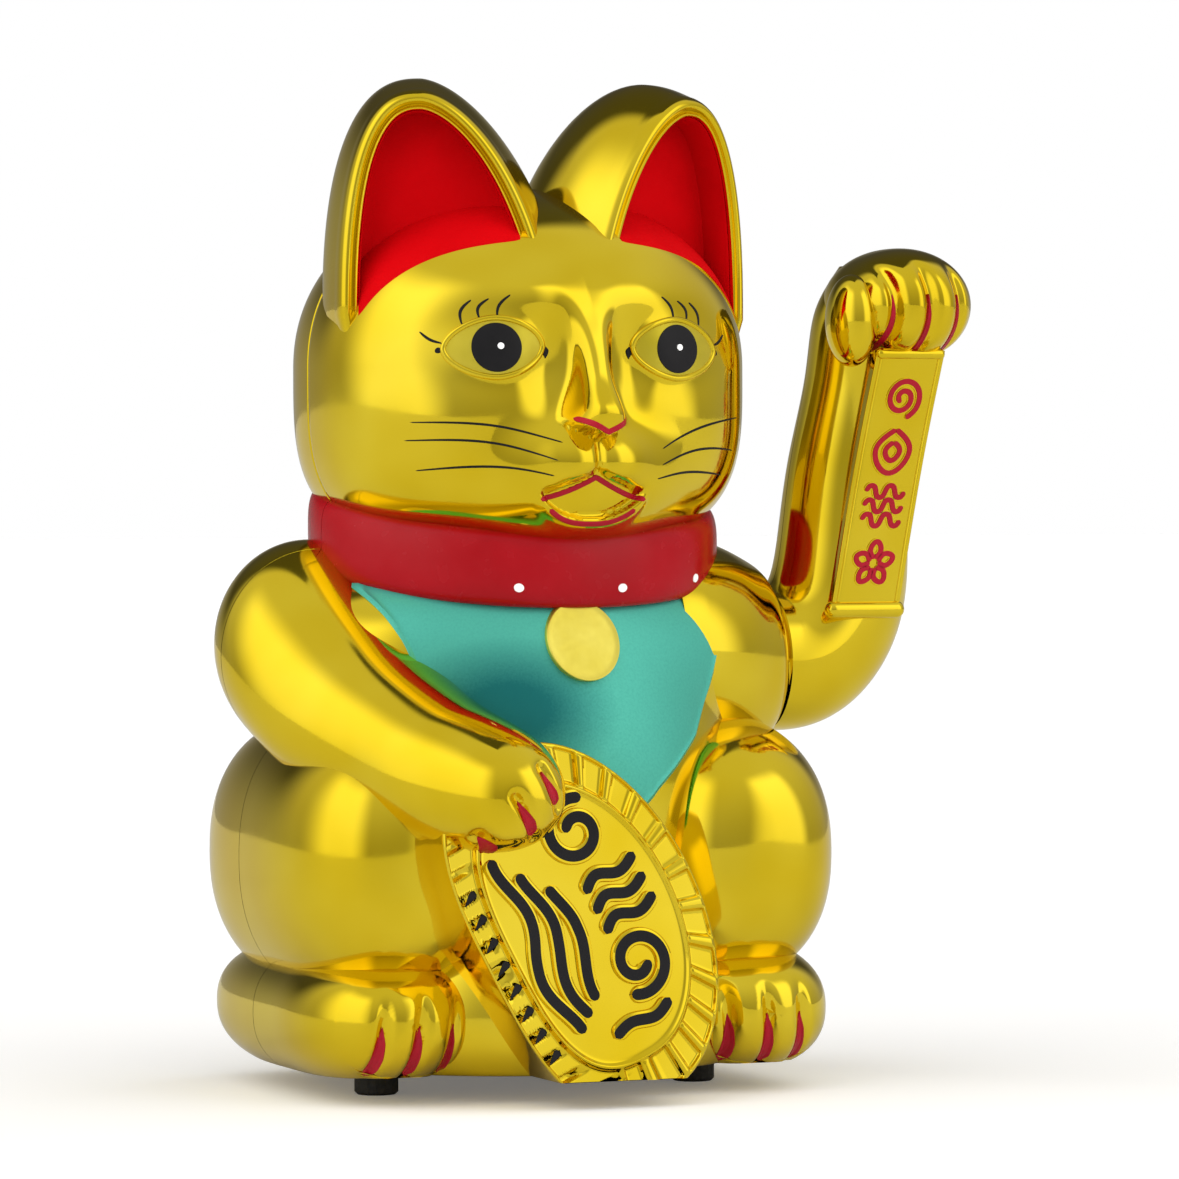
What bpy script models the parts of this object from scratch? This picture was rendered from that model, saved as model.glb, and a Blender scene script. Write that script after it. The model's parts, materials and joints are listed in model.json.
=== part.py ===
"""A waving cat figurine: plated plastic shells over a battery-driven pendulum that rocks the raised arm.

Frame: +Z up, the cat faces -Y and its raised arm is on +X. Sizes are in metres.
The body is a moulded form given by its radius round a vertical axis, as a blend of rounded lobes.
It is hollow and parts at the plane of the arm's axle into a front and a rear shell.
"""

import math

import bmesh
import bpy
import numpy as np
from mathutils import Matrix

MM = 0.001

# Figure: overall sizes, each set by itself.
FIGURE_WIDTH = 188 * MM
FIGURE_DEPTH = 150 * MM
FIGURE_HEIGHT = 300 * MM
FOOT_HEIGHT = 8 * MM
SHELL_WALL = 2.2 * MM
SEAM_GAP = 0.3 * MM
GAP = 0.3 * MM  # kept between pieces that touch

HALF_WIDTH = FIGURE_WIDTH / 2
HALF_DEPTH = FIGURE_DEPTH / 2
SHELL_HEIGHT = FIGURE_HEIGHT - FOOT_HEIGHT
SHELL_BOTTOM = FOOT_HEIGHT

# Moulded form: lobes as (centre, radii), each in shares of half width, half depth and shell height.
TRUNK_LOBES = (
    ((0.0, 0.0, 0.274), (0.70, 0.773, 0.288)),  # torso
    ((0.0, 0.027, 0.411), (0.84, 0.667, 0.123)),  # shoulders
    ((0.606, -0.027, 0.219), (0.362, 0.773, 0.147)),  # left haunch
    ((-0.606, -0.027, 0.219), (0.362, 0.773, 0.147)),  # right haunch
    ((0.0, 0.293, 0.185), (0.766, 0.64, 0.192)),  # rump
    ((0.0, 0.107, 0.041), (0.81, 0.827, 0.137)),  # skirt
)
FOOT_LOBE = ((0.617, -0.24, 0.055), (0.287, 0.587, 0.0685))
UPPER_ARM_LOBE = ((-0.70, 0.053, 0.418), (0.277, 0.453, 0.116))
LOWERED_PAW_LOBE = ((-0.383, -0.96, 0.288), (0.191, 0.213, 0.066))
LOWERED_ARM = (  # centre in shares, then radius in shares of half width
    (-0.64, 0.16, 0.41, 0.22),
    (-0.65, -0.11, 0.408, 0.255),
    (-0.635, -0.32, 0.385, 0.238),
    (-0.58, -0.55, 0.347, 0.216),
    (-0.50, -0.74, 0.318, 0.20),
    (-0.41, -0.88, 0.298, 0.185),
)
HEAD_CENTRE_Z, HEAD_RADII = 0.7055, (0.702, 0.733, 0.185)
HEAD_SQUARENESS = 2.4
NECKBAND_Z, NECKBAND_RADII, NECKBAND_HALF_HEIGHT = 0.531, (0.667, 0.707), 0.039
NECKBAND_SLOPE = 0.18
NECKBAND_SQUARENESS = 4
BLEND_POWER = 24
COIN_CENTRE, COIN_RADII = (-0.117, 0.161), (0.404, 0.185)
COIN_FRONT, COIN_BACK = -1.04, -0.5
COIN_LEAN, COIN_TILT = 0.10, math.radians(23.6)

# Ears: hollow lobes with a scooped, open front.
EAR_SECTIONS = (  # height share, centre x, centre y, half width, half thickness, in body shares
    (0.77, 0.40, -0.13, 0.27, 0.36),
    (0.85, 0.42, -0.15, 0.265, 0.35),
    (0.91, 0.435, -0.18, 0.225, 0.28),
    (0.96, 0.445, -0.20, 0.155, 0.20),
    (0.99, 0.45, -0.21, 0.08, 0.11),
    (1.00, 0.45, -0.21, 0.02, 0.03),
)
EAR_TURN = math.radians(20)
EAR_CUP_DEPTH = 9 * MM
EAR_RIM = 3.4 * MM

# Raised arm and its axle.
AXLE_Z_SHARE = 0.404
AXLE_RADIUS = 1.5 * MM
AXLE_CLEARANCE = 0.1 * MM
ARM_WALL = 1.6 * MM
ARM_BODY_GAP = 1.5 * MM
ARM_SIDES = 16
ELBOW_PROFILE = (  # radius, then distance out from the hub face
    (20, 0), (20.4, 10), (19.6, 21), (16.8, 31), (11.5, 38), (4, 42),
)
FOREARM_SECTIONS = (  # up from the axle, out, forward, half width, half depth
    (-3, 26, 0, 16.0, 17.0),
    (14, 27, 0, 17.6, 18.0),
    (34, 27.5, -0.5, 17.2, 17.6),
    (54, 29, -1, 16.4, 16.8),
    (74, 31, -2, 15.8, 16.2),
    (92, 33.5, -4.5, 16.0, 16.4),
    (104, 36, -9, 14.0, 14.6),
)
PAW_CENTRE, PAW_RADII = (38, -15, 107), (19.5, 21, 16.5)
BANNER_WIDTH = 23 * MM
BANNER_THICKNESS = 4 * MM
BANNER_SECTIONS = (  # out from the hub face, forward, up from the axle, at the middle of its face
    (24.5, -20, 16),
    (26, -22, 40),
    (28.5, -23.5, 64),
    (32.5, -27, 92),
)
BANNER_ROLL_RADIUS = 2.6 * MM

# Mechanism.
PLATE_THICKNESS = 2.5 * MM
CHEEK_SPREAD = 24 * MM
CHEEK_THICKNESS = 4 * MM
CHEEK_WIDTH = 26 * MM
FLOOR_DEPTH = 42 * MM
FRAME_FLOOR = 3 * MM
BUSH_RADIUS = 3.5 * MM
BUSH_FLANGE_RADIUS = 5 * MM
PENDULUM_LENGTH = 93 * MM
PENDULUM_OFFSET = 7.3 * MM  # behind the axle, so that the arm balances upright
PENDULUM_HUB_RADIUS = 6 * MM
ROD_WIDTH, ROD_THICKNESS = 8 * MM, 4 * MM
WEIGHT_RADIUS, WEIGHT_WIDTH = 13.5 * MM, 14 * MM
MAGNET_RADIUS, MAGNET_THICKNESS = 8 * MM, 4 * MM
COIL_RADIUS, COIL_CORE_RADIUS, COIL_HEIGHT = 9.5 * MM, 4 * MM, 10 * MM
BOBBIN_FLANGE = 1.2 * MM
MAGNET_AIR_GAP = 3.9 * MM

# Battery bay: two AA cells, side by side along X.
CELL_RADIUS, CELL_LENGTH = 7.2 * MM, 50.2 * MM
BAY_Y = 8 * MM
BAY_WALL = 1.8 * MM
CONTACT_ROOM = 5 * MM
DOOR_THICKNESS = 1.8 * MM
DOOR_LEDGE = 1.2 * MM
DOOR_CLEARANCE = 0.4 * MM
LATCH_WIDTH = 8 * MM
RIDGE_HEIGHT = 0.8 * MM
TAB_THICKNESS, TAB_HEIGHT = 1.2 * MM, 5 * MM
BUTTON_RADIUS, BUTTON_HEIGHT = 2.7 * MM, 1.5 * MM
LANE_WIDTH = 4.1 * MM  # between the bay and the mechanism
LAYOUT_X = 2.05 * MM  # middle of the bay, the lane and the mechanism

# Small parts.
FOOT_RADIUS = 6.5 * MM
FOOT_CHAMFER = 0.8 * MM
FRONT_FOOT = (0.5426 * HALF_WIDTH, -0.2 * HALF_DEPTH)
REAR_FOOT = (0.2872 * HALF_WIDTH, 0.64 * HALF_DEPTH)
BOARD_SIZE = (30 * MM, 18 * MM, 1.6 * MM)
BOARD_CENTRE = (-15 * MM, -20 * MM)
BOARD_POST, POST_INSET = 5 * MM, 4 * MM
CAPACITOR_RADIUS, CAPACITOR_HEIGHT = 2.5 * MM, 7 * MM
SWITCH_CENTRE = (14 * MM, -20 * MM)
SWITCH_BODY = (14 * MM, 7 * MM, 6 * MM)
SWITCH_TRAVEL = 3 * MM
KNOB = (4 * MM, 3 * MM)
SCREW_RADIUS, SCREW_HEAD_RADIUS, SCREW_HEAD = 1.4 * MM, 2.8 * MM, 1.8 * MM
SCREW_LENGTH = 11 * MM
BOSS_RADIUS, BOSS_HEIGHT, BOSS_RIB = 3.6 * MM, 14 * MM, 3 * MM
BOSS_ANGLES = (math.radians(-172), math.radians(-8), math.radians(40), math.radians(140))
LEAD_RADIUS = 0.6 * MM

ROUND_SIDES = 16
AROUND = 40
BODY_RINGS = 28

# Derived places.
PLATE_BOTTOM = SHELL_BOTTOM + 0.5 * MM
PLATE_TOP = PLATE_BOTTOM + PLATE_THICKNESS
FRAME_BOTTOM = PLATE_TOP + GAP
COIL_TOP = FRAME_BOTTOM + FRAME_FLOOR + GAP + 2 * BOBBIN_FLANGE + COIL_HEIGHT
LOWEST_AXLE_Z = COIL_TOP + MAGNET_AIR_GAP + MAGNET_THICKNESS / 2 + PENDULUM_LENGTH
AXLE_Z = max(SHELL_BOTTOM + AXLE_Z_SHARE * SHELL_HEIGHT, LOWEST_AXLE_Z)
MAGNET_Z = AXLE_Z - PENDULUM_LENGTH
BAY_LENGTH = CELL_LENGTH + 2 * (CONTACT_ROOM + BAY_WALL)
FRAME_LENGTH = CHEEK_SPREAD + 2 * CHEEK_THICKNESS
BAY_X = LAYOUT_X - (LANE_WIDTH + FRAME_LENGTH) / 2
MECHANISM_X = LAYOUT_X + (LANE_WIDTH + BAY_LENGTH) / 2

MATERIALS = {  # colour, roughness, metallic
    "gold": ((0.83, 0.62, 0.05), 0.12, 1.0),
    "plate_black": ((0.03, 0.03, 0.03), 0.5, 0.0),
    "rubber": ((0.015, 0.015, 0.016), 0.75, 0.0),
    "white_plastic": ((0.75, 0.74, 0.7), 0.45, 0.0),
    "steel": ((0.6, 0.6, 0.62), 0.3, 1.0),
    "magnet": ((0.42, 0.42, 0.44), 0.35, 1.0),
    "copper": ((0.72, 0.32, 0.15), 0.3, 1.0),
    "board": ((0.42, 0.24, 0.08), 0.6, 0.0),
    "component": ((0.02, 0.02, 0.025), 0.4, 0.0),
    "brass": ((0.75, 0.55, 0.22), 0.3, 1.0),
    "cell_wrap": ((0.05, 0.16, 0.32), 0.4, 0.0),
    "red_wire": ((0.6, 0.03, 0.02), 0.4, 0.0),
    "black_wire": ((0.02, 0.02, 0.02), 0.4, 0.0),
}

ROOT = None
PIECES = []


# ---------------------------------------------------------------- building blocks


def make_material(name):
    colour, roughness, metallic = MATERIALS[name]
    material = bpy.data.materials.new(name)
    material.use_nodes = True
    shader = material.node_tree.nodes["Principled BSDF"]
    shader.inputs["Base Color"].default_value = (*colour, 1.0)
    shader.inputs["Roughness"].default_value = roughness
    shader.inputs["Metallic"].default_value = metallic
    return material


def place(mesh, name, parent, material=None):
    """An object for the mesh under the parent. Without a material it is a cutter or a guide."""
    obj = bpy.data.objects.new(name, mesh)
    bpy.context.scene.collection.objects.link(obj)
    obj.parent = parent
    obj.location = -parent_place(parent)
    if material is None:
        obj.hide_render = True
        obj.display_type = "WIRE"
        return obj
    mesh.materials.append(bpy.data.materials.get(material) or make_material(material))
    mesh.shade_smooth()
    mesh.set_sharp_from_angle(angle=math.radians(35))
    PIECES.append(obj)
    return obj


def parent_place(parent):
    """Where the parent empty stands in the figure's own frame."""
    return parent.location if parent is not ROOT else parent.location * 0


def empty(name, location):
    """An empty on a joint's axis, for the pieces that move with it."""
    pivot = bpy.data.objects.new(name, None)
    bpy.context.scene.collection.objects.link(pivot)
    pivot.parent = ROOT
    pivot.location = location
    return pivot


def mesh_of(vertices, faces, name):
    mesh = bpy.data.meshes.new(name)
    mesh.from_pydata([tuple(map(float, v)) for v in vertices], [], faces)
    work = bmesh.new()
    work.from_mesh(mesh)
    bmesh.ops.remove_doubles(work, verts=work.verts, dist=1e-6)
    bmesh.ops.triangulate(work, faces=[face for face in work.faces if len(face.verts) == 4])
    bmesh.ops.recalc_face_normals(work, faces=work.faces)
    work.to_mesh(mesh)
    work.free()
    return mesh


def loft(rings, name):
    """A closed solid through rings of equally many points, with a flat cap at each end."""
    rings = np.asarray(rings, float)
    count, sides = rings.shape[:2]
    faces = []
    for i in range(count - 1):
        for j in range(sides):
            k = (j + 1) % sides
            faces.append((i * sides + j, i * sides + k, (i + 1) * sides + k, (i + 1) * sides + j))
    faces.append(tuple(range(sides)))
    faces.append(tuple(range((count - 1) * sides, count * sides)))
    return mesh_of(rings.reshape(-1, 3), faces, name)


def box_mesh(low, high, name):
    low, high = np.minimum(low, high), np.maximum(low, high)
    corners = [(low[0], low[1]), (high[0], low[1]), (high[0], high[1]), (low[0], high[1])]
    return loft([[(x, y, z) for x, y in corners] for z in (low[2], high[2])], name)


def turned_mesh(profile, axis, centre, name, sides=ROUND_SIDES):
    """A turned solid: (radius, distance) pairs from its centre along an axis, 0 for X, 1 for Y or 2 for Z."""
    angles = np.arange(sides) * 2 * math.pi / sides
    rings = np.zeros((len(profile), sides, 3))
    for ring, (radius, along) in zip(rings, profile):
        ring[:, (axis + 1) % 3] = radius * np.cos(angles)
        ring[:, (axis + 2) % 3] = radius * np.sin(angles)
        ring[:, axis] = along
    return loft(rings + np.asarray(centre, float), name)


def cut(target, tool, operation="DIFFERENCE"):
    modifier = target.modifiers.new(operation.lower(), "BOOLEAN")
    modifier.operation = operation
    modifier.solver = "EXACT"
    modifier.object = tool


def drill(target, axis, centre, radius, reach, sides=ROUND_SIDES):
    """A round hole through the target, reach to each side of the centre."""
    mesh = turned_mesh([(radius, -reach), (radius, reach)], axis, centre, "drill", sides)
    cut(target, place(mesh, target.name + "_drill", target.parent))


# ---------------------------------------------------------------- moulded form


def ellipsoid_reach(heading, z, centre, radii):
    """How far a level ray from the axis goes to the far side of an ellipsoid, or 0 where it misses."""
    size = np.array(radii) * (HALF_WIDTH, HALF_DEPTH, SHELL_HEIGHT)
    middle = np.array(centre) * (HALF_WIDTH, HALF_DEPTH, SHELL_HEIGHT)
    along = [np.cos(heading) / size[0], np.sin(heading) / size[1]]
    start = [-middle[0] / size[0], -middle[1] / size[1], (z - SHELL_BOTTOM - middle[2]) / size[2]]
    a = along[0] ** 2 + along[1] ** 2
    b = start[0] * along[0] + start[1] * along[1]
    c = start[0] ** 2 + start[1] ** 2 + start[2] ** 2 - 1
    root = b * b - a * c
    return np.where(root > 0, (-b + np.sqrt(np.maximum(root, 0))) / a, 0)


def band_reach(heading, height, radii, power):
    """A level ray to a squarish round form on the axis; height is 0 at its middle and 1 at its rim."""
    level = np.maximum(0, 1 - np.abs(height) ** power) ** (1 / power)
    across = np.abs(np.cos(heading) / (radii[0] * HALF_WIDTH)) ** power
    deep = np.abs(np.sin(heading) / (radii[1] * HALF_DEPTH)) ** power
    return level / (across + deep) ** (1 / power)


def neckband_reach(heading, z):
    """The collar: an upright oval band whose front hangs lower than its back."""
    oval = 1 / np.hypot(
        np.cos(heading) / (NECKBAND_RADII[0] * HALF_WIDTH), np.sin(heading) / (NECKBAND_RADII[1] * HALF_DEPTH)
    )
    middle = SHELL_BOTTOM + NECKBAND_Z * SHELL_HEIGHT + NECKBAND_SLOPE * oval * np.sin(heading)
    height = (z - middle) / (NECKBAND_HALF_HEIGHT * SHELL_HEIGHT)
    return oval * np.maximum(0, 1 - np.abs(height) ** NECKBAND_SQUARENESS) ** (1 / NECKBAND_SQUARENESS)


def figure_radius(heading, z):
    """The moulded form's radius round the axis, as a soft maximum of its lobes' reaches."""
    head_height = ((z - SHELL_BOTTOM) / SHELL_HEIGHT - HEAD_CENTRE_Z) / HEAD_RADII[2]
    reaches = [ellipsoid_reach(heading, z, *lobe) for lobe in TRUNK_LOBES]
    reaches.append(band_reach(heading, head_height, HEAD_RADII, HEAD_SQUARENESS))
    reaches.append(neckband_reach(heading, z))
    return sum(reach**BLEND_POWER for reach in reaches) ** (1 / BLEND_POWER)


def wall_radius(heading, z):
    """The cavity's radius: the form's least radius close by, less the wall, and lower at the crown."""
    middle = SHELL_BOTTOM + HEAD_CENTRE_Z * SHELL_HEIGHT
    head = HEAD_RADII[2] * SHELL_HEIGHT
    turn, rise = 2 * math.pi / AROUND, SHELL_WALL
    if z > middle:
        z, rise = middle + (z - middle) * head / (head - SHELL_WALL), 0
    near = [
        figure_radius(heading + across * turn, max(z + up * rise, SHELL_BOTTOM))
        for across in (-1, 0, 1)
        for up in (-1, 0, 1)
    ]
    return np.min(near, axis=0) - SHELL_WALL


def form_heights():
    """The heights of the form's rings, closer together towards the crown."""
    share = np.linspace(0, 1, BODY_RINGS)
    level = np.where(share < 0.8, share, 0.8 + 0.2 * np.sin((share - 0.8) / 0.2 * math.pi / 2))
    crown = SHELL_BOTTOM + (HEAD_CENTRE_Z + HEAD_RADII[2]) * SHELL_HEIGHT - 0.2 * MM
    return SHELL_BOTTOM + level * (crown - SHELL_BOTTOM)


def form_rings(radius_at, around, heights):
    headings = np.arange(around) * 2 * math.pi / around
    rings = []
    for z in heights:
        radius = np.maximum(radius_at(headings, z), 3 * MM)
        rings.append(np.stack([radius * np.cos(headings), radius * np.sin(headings), np.full(around, z)], 1))
    return rings


def body_place(share):
    """A point from its shares of half width, half depth and shell height."""
    return np.array(share) * (HALF_WIDTH, HALF_DEPTH, SHELL_HEIGHT) + (0, 0, SHELL_BOTTOM)


def lobe_mesh(lobe, inset, name):
    """A lobe as level rings, cut flat above the figure's bottom."""
    centre = body_place(lobe[0])
    radii = np.array(lobe[1]) * (HALF_WIDTH, HALF_DEPTH, SHELL_HEIGHT) - inset
    floor = SHELL_BOTTOM + 0.4 * MM + inset
    low = max(-0.985, (floor - centre[2]) / radii[2])
    angles = np.arange(ROUND_SIDES) * 2 * math.pi / ROUND_SIDES
    rings = []
    for polar in np.linspace(math.acos(low), math.acos(0.985), 8):
        wide, deep = radii[:2] * math.sin(polar)
        z = centre[2] + radii[2] * math.cos(polar)
        rings.append([(centre[0] + wide * math.cos(a), centre[1] + deep * math.sin(a), z) for a in angles])
    return loft(rings, name)


def tube_mesh(sections, inset, name):
    """A round limb: rings square to the path through its sections."""
    points = np.array([body_place(section[:3]) for section in sections])
    radii = np.array([section[3] * HALF_WIDTH for section in sections]) - inset
    way = np.gradient(points, axis=0)
    way /= np.linalg.norm(way, axis=1)[:, None]
    angles = np.arange(ROUND_SIDES) * 2 * math.pi / ROUND_SIDES
    rings = []
    for point, heading, radius in zip(points, way, radii):
        across = np.cross(heading, (0, 0, 1))
        across /= np.linalg.norm(across)
        other = np.cross(heading, across)
        rings.append([point + radius * (math.cos(a) * across + math.sin(a) * other) for a in angles])
    return loft(rings, name)


def coin_mesh(inset, name):
    """The oval coin's slab: its tilted outline at the leaning front and at the back inside the body."""
    centre = np.array((COIN_CENTRE[0] * HALF_WIDTH, SHELL_BOTTOM + COIN_CENTRE[1] * SHELL_HEIGHT))
    half_short, half_long = COIN_RADII[0] * HALF_WIDTH - inset, COIN_RADII[1] * SHELL_HEIGHT - inset
    angles = np.arange(2 * ROUND_SIDES) * math.pi / ROUND_SIDES
    x = half_short * np.cos(angles) * math.cos(COIN_TILT) - half_long * np.sin(angles) * math.sin(COIN_TILT)
    z = half_short * np.cos(angles) * math.sin(COIN_TILT) + half_long * np.sin(angles) * math.cos(COIN_TILT)
    lean = COIN_FRONT * HALF_DEPTH + COIN_LEAN * z + inset
    height = np.maximum(centre[1] + z, SHELL_BOTTOM + 0.2 * MM + inset)
    back = COIN_BACK * HALF_DEPTH + 2 * inset
    front_ring = np.stack([centre[0] + x, lean, height], 1)
    back_ring = np.stack([centre[0] + x, np.full_like(x, back), height], 1)
    return loft([front_ring, back_ring], name)


def added_forms(inset):
    """The lobes, limbs and coin that stand out from the trunk, or with an inset their insides."""
    mirrored = ((-FOOT_LOBE[0][0], *FOOT_LOBE[0][1:]), FOOT_LOBE[1])
    yield "foot_left", lobe_mesh(FOOT_LOBE, inset, "foot_left")
    yield "foot_right", lobe_mesh(mirrored, inset, "foot_right")
    yield "upper_arm", lobe_mesh(UPPER_ARM_LOBE, inset, "upper_arm")
    yield "lowered_arm", tube_mesh(LOWERED_ARM, inset, "lowered_arm")
    yield "lowered_paw", lobe_mesh(LOWERED_PAW_LOBE, inset, "lowered_paw")
    yield "coin", coin_mesh(inset, "coin")


def ear_mesh(side, inset, name):
    """One ear as level ovals, turned outwards; an inset gives its inside."""
    angles = np.arange(ARM_SIDES) * 2 * math.pi / ARM_SIDES
    turn = np.array(Matrix.Rotation(side * EAR_TURN, 2))
    rings = []
    for share, x, y, half_width, half_depth in EAR_SECTIONS:
        if inset and share > 0.97:
            continue
        wide = max(half_width * HALF_WIDTH - inset, MM) * np.cos(angles)
        deep = max(half_depth * HALF_DEPTH - inset, MM) * np.sin(angles)
        flat = np.stack([wide, deep], 1) @ turn.T + (side * x * HALF_WIDTH, y * HALF_DEPTH)
        z = SHELL_BOTTOM + share * SHELL_HEIGHT
        rings.append([(px, py, z) for px, py in flat])
    return loft(rings, name)


def ear_cup_mesh(side, name):
    """The cutter for the ear's open front: an arch set back behind its rim, as deep as the cup."""
    base, top = EAR_SECTIONS[1], EAR_SECTIONS[3]
    half = base[3] * HALF_WIDTH - EAR_RIM
    foot = SHELL_BOTTOM + base[0] * SHELL_HEIGHT
    peak = SHELL_BOTTOM + top[0] * SHELL_HEIGHT + EAR_RIM
    arch = [(half * math.cos(a), foot + (peak - foot) * math.sin(a)) for a in np.linspace(0, math.pi, 13)]
    turn = np.array(Matrix.Rotation(side * EAR_TURN, 2))
    middle = np.array((side * base[1] * HALF_WIDTH, base[2] * HALF_DEPTH))
    front = -base[4] * HALF_DEPTH
    rings = []
    for depth, shrink in ((front - 30 * MM, 1.0), (front + EAR_CUP_DEPTH, 0.94)):
        lean = EAR_CUP_DEPTH / (peak - foot)
        ring = []
        for x, z in arch:
            flat = turn @ np.array((x * shrink, depth + lean * (z - foot))) + middle
            ring.append((flat[0], flat[1], z))
        rings.append(ring)
    return loft(rings, name)


def figure_cavity():
    """The hollow inside both shells: half as many sides as the form, at the same heights, and open below."""
    heights = form_heights()
    top = heights[-1] - SHELL_WALL
    heights = np.concatenate([[SHELL_BOTTOM - 2 * MM], heights[heights < top - MM], [top]])
    return place(loft(form_rings(wall_radius, AROUND // 2, heights), "figure_cavity"), "figure_cavity", ROOT)


def shell(name, front, cavity):
    """One half of the figure: form and ears, less cavity, ear cups, the other half and the axle's slot."""
    body = place(loft(form_rings(figure_radius, AROUND, form_heights()), name), name, ROOT, "gold")
    for side in (-1, 1):
        cut(body, place(ear_mesh(side, 0, "ear"), f"{name}_ear_{side}", ROOT), "UNION")
    for part, mesh in added_forms(0):
        cut(body, place(mesh, f"{name}_{part}", ROOT), "UNION")
    cut(body, cavity)
    for part, mesh in added_forms(SHELL_WALL):
        cut(body, place(mesh, f"{name}_{part}_inside", ROOT))
    for side in (-1, 1):
        ear_inside = place(ear_mesh(side, SHELL_WALL, "ear"), f"{name}_ear_inside_{side}", ROOT)
        cup_back = EAR_CUP_DEPTH + EAR_RIM
        front_of_inside = (EAR_SECTIONS[1][2] - EAR_SECTIONS[1][4]) * HALF_DEPTH + 2 * cup_back
        keep = box_mesh((-HALF_WIDTH, front_of_inside, 0), (HALF_WIDTH, HALF_DEPTH, FIGURE_HEIGHT), "keep")
        cut(ear_inside, place(keep, f"{name}_keep_{side}", ROOT), "INTERSECT")
        cut(body, ear_inside)
        if front:
            cut(body, place(ear_cup_mesh(side, "cup"), f"{name}_cup_{side}", ROOT))
    reach = 2 * FIGURE_HEIGHT
    near = -SEAM_GAP / 2 if front else SEAM_GAP / 2
    far = reach if front else -reach
    other_half = box_mesh((-reach, near, -reach), (reach, far, reach), "other_half")
    cut(body, place(other_half, name + "_other_half", ROOT))
    add_bosses(body, front)
    return body


def boss_places(front):
    """Plan positions of the base screws' bosses in one shell, and the inner wall's radius there."""
    for heading in BOSS_ANGLES:
        if (math.sin(heading) < 0) == front:
            near = np.linspace(heading - 0.08, heading + 0.08, 5)
            radius = min(float(wall_radius(near, z).min()) for z in form_heights()[:4])
            middle = radius - BOSS_RADIUS - 3 * MM
            yield heading, radius, (middle * math.cos(heading), middle * math.sin(heading))


def add_bosses(body, front):
    """Screw posts above the base plate, each tied to the wall by a rib."""
    low = PLATE_TOP + GAP
    for heading, radius, (x, y) in boss_places(front):
        post = turned_mesh([(BOSS_RADIUS, 0), (BOSS_RADIUS, BOSS_HEIGHT)], 2, (x, y, low), "boss", 16)
        post = place(post, f"{body.name}_boss_{math.degrees(heading):.0f}", ROOT)
        foot = ((math.copysign(FOOT_LOBE[0][0], x), *FOOT_LOBE[0][1:]), FOOT_LOBE[1])
        reaches = figure_radius(heading, low), ellipsoid_reach(heading, low, *foot)
        outer = float(max(reaches)) - 0.5 * SHELL_WALL
        inner = math.hypot(x, y) - BOSS_RADIUS / 2
        rib = box_mesh((inner, -BOSS_RIB / 2, low), (outer, BOSS_RIB / 2, low + 0.6 * BOSS_HEIGHT), "rib")
        rib.transform(Matrix.Rotation(heading, 4, "Z"))
        rib = place(rib, f"{body.name}_rib_{math.degrees(heading):.0f}", ROOT)
        cut(post, rib, "UNION")
        drill(post, 2, (x, y, low), SCREW_RADIUS + GAP, SCREW_LENGTH, 12)
        cut(body, post, "UNION")


# ---------------------------------------------------------------- base


def base_plate():
    """The closing plate with the battery bay above its door opening, and the holes for screws and switch."""
    sides = AROUND // 2
    headings = np.arange(sides) * 2 * math.pi / sides
    radius = np.minimum(*(wall_radius(headings, z) for z in form_heights()[:2])) - 2 * GAP
    ring = [(r * math.cos(a), r * math.sin(a)) for r, a in zip(radius, headings)]
    mesh = loft([[(x, y, z) for x, y in ring] for z in (PLATE_BOTTOM, PLATE_TOP)], "base_plate")
    plate = place(mesh, "base_plate", ROOT, "plate_black")
    half_x = CELL_LENGTH / 2 + CONTACT_ROOM
    half_y = 2 * CELL_RADIUS + GAP * 2
    roof = bay_floor() + 2 * CELL_RADIUS + 2 * GAP
    walls = box_mesh(
        (BAY_X - half_x - BAY_WALL, BAY_Y - half_y - BAY_WALL, PLATE_BOTTOM + PLATE_THICKNESS / 2),
        (BAY_X + half_x + BAY_WALL, BAY_Y + half_y + BAY_WALL, roof + BAY_WALL),
        "bay_walls",
    )
    cut(plate, place(walls, "bay_walls", ROOT), "UNION")
    inside = box_mesh(
        (BAY_X - half_x, BAY_Y - half_y, SHELL_BOTTOM - 5 * MM), (BAY_X + half_x, BAY_Y + half_y, roof), "bay"
    )
    cut(plate, place(inside, "bay_inside", ROOT))
    seat = box_mesh(*door_box(DOOR_CLEARANCE), "door_seat")
    cut(plate, place(seat, "door_seat", ROOT))
    for front in (True, False):
        for _, _, (x, y) in boss_places(front):
            drill(plate, 2, (x, y, PLATE_TOP), SCREW_RADIUS + GAP, 2 * PLATE_THICKNESS, 12)
            recess = turned_mesh([(SCREW_HEAD_RADIUS + GAP, -5 * MM), (SCREW_HEAD_RADIUS + GAP, 0)], 2,
                                 (x, y, PLATE_BOTTOM + SCREW_HEAD / 2), "recess", 12)
            cut(plate, place(recess, "recess", ROOT))
    x, y = SWITCH_CENTRE
    slot = box_mesh(
        (x - SWITCH_TRAVEL - KNOB[0] / 2, y - KNOB[1] / 2 - GAP, 0),
        (x + SWITCH_TRAVEL + KNOB[0] / 2, y + KNOB[1] / 2 + GAP, 2 * PLATE_TOP),
        "switch_slot",
    )
    cut(plate, place(slot, "switch_slot", ROOT))
    for dx, dy in board_posts():
        post = turned_mesh([(2.4 * MM, -MM), (2.4 * MM, BOARD_POST)], 2, (dx, dy, PLATE_TOP), "post", 12)
        cut(plate, place(post, "board_post", ROOT), "UNION")
        drill(plate, 2, (dx, dy, PLATE_TOP + BOARD_POST), SCREW_RADIUS + GAP, BOARD_POST - MM, 12)


def bay_floor():
    return PLATE_BOTTOM + DOOR_THICKNESS + 2 * GAP


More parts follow.
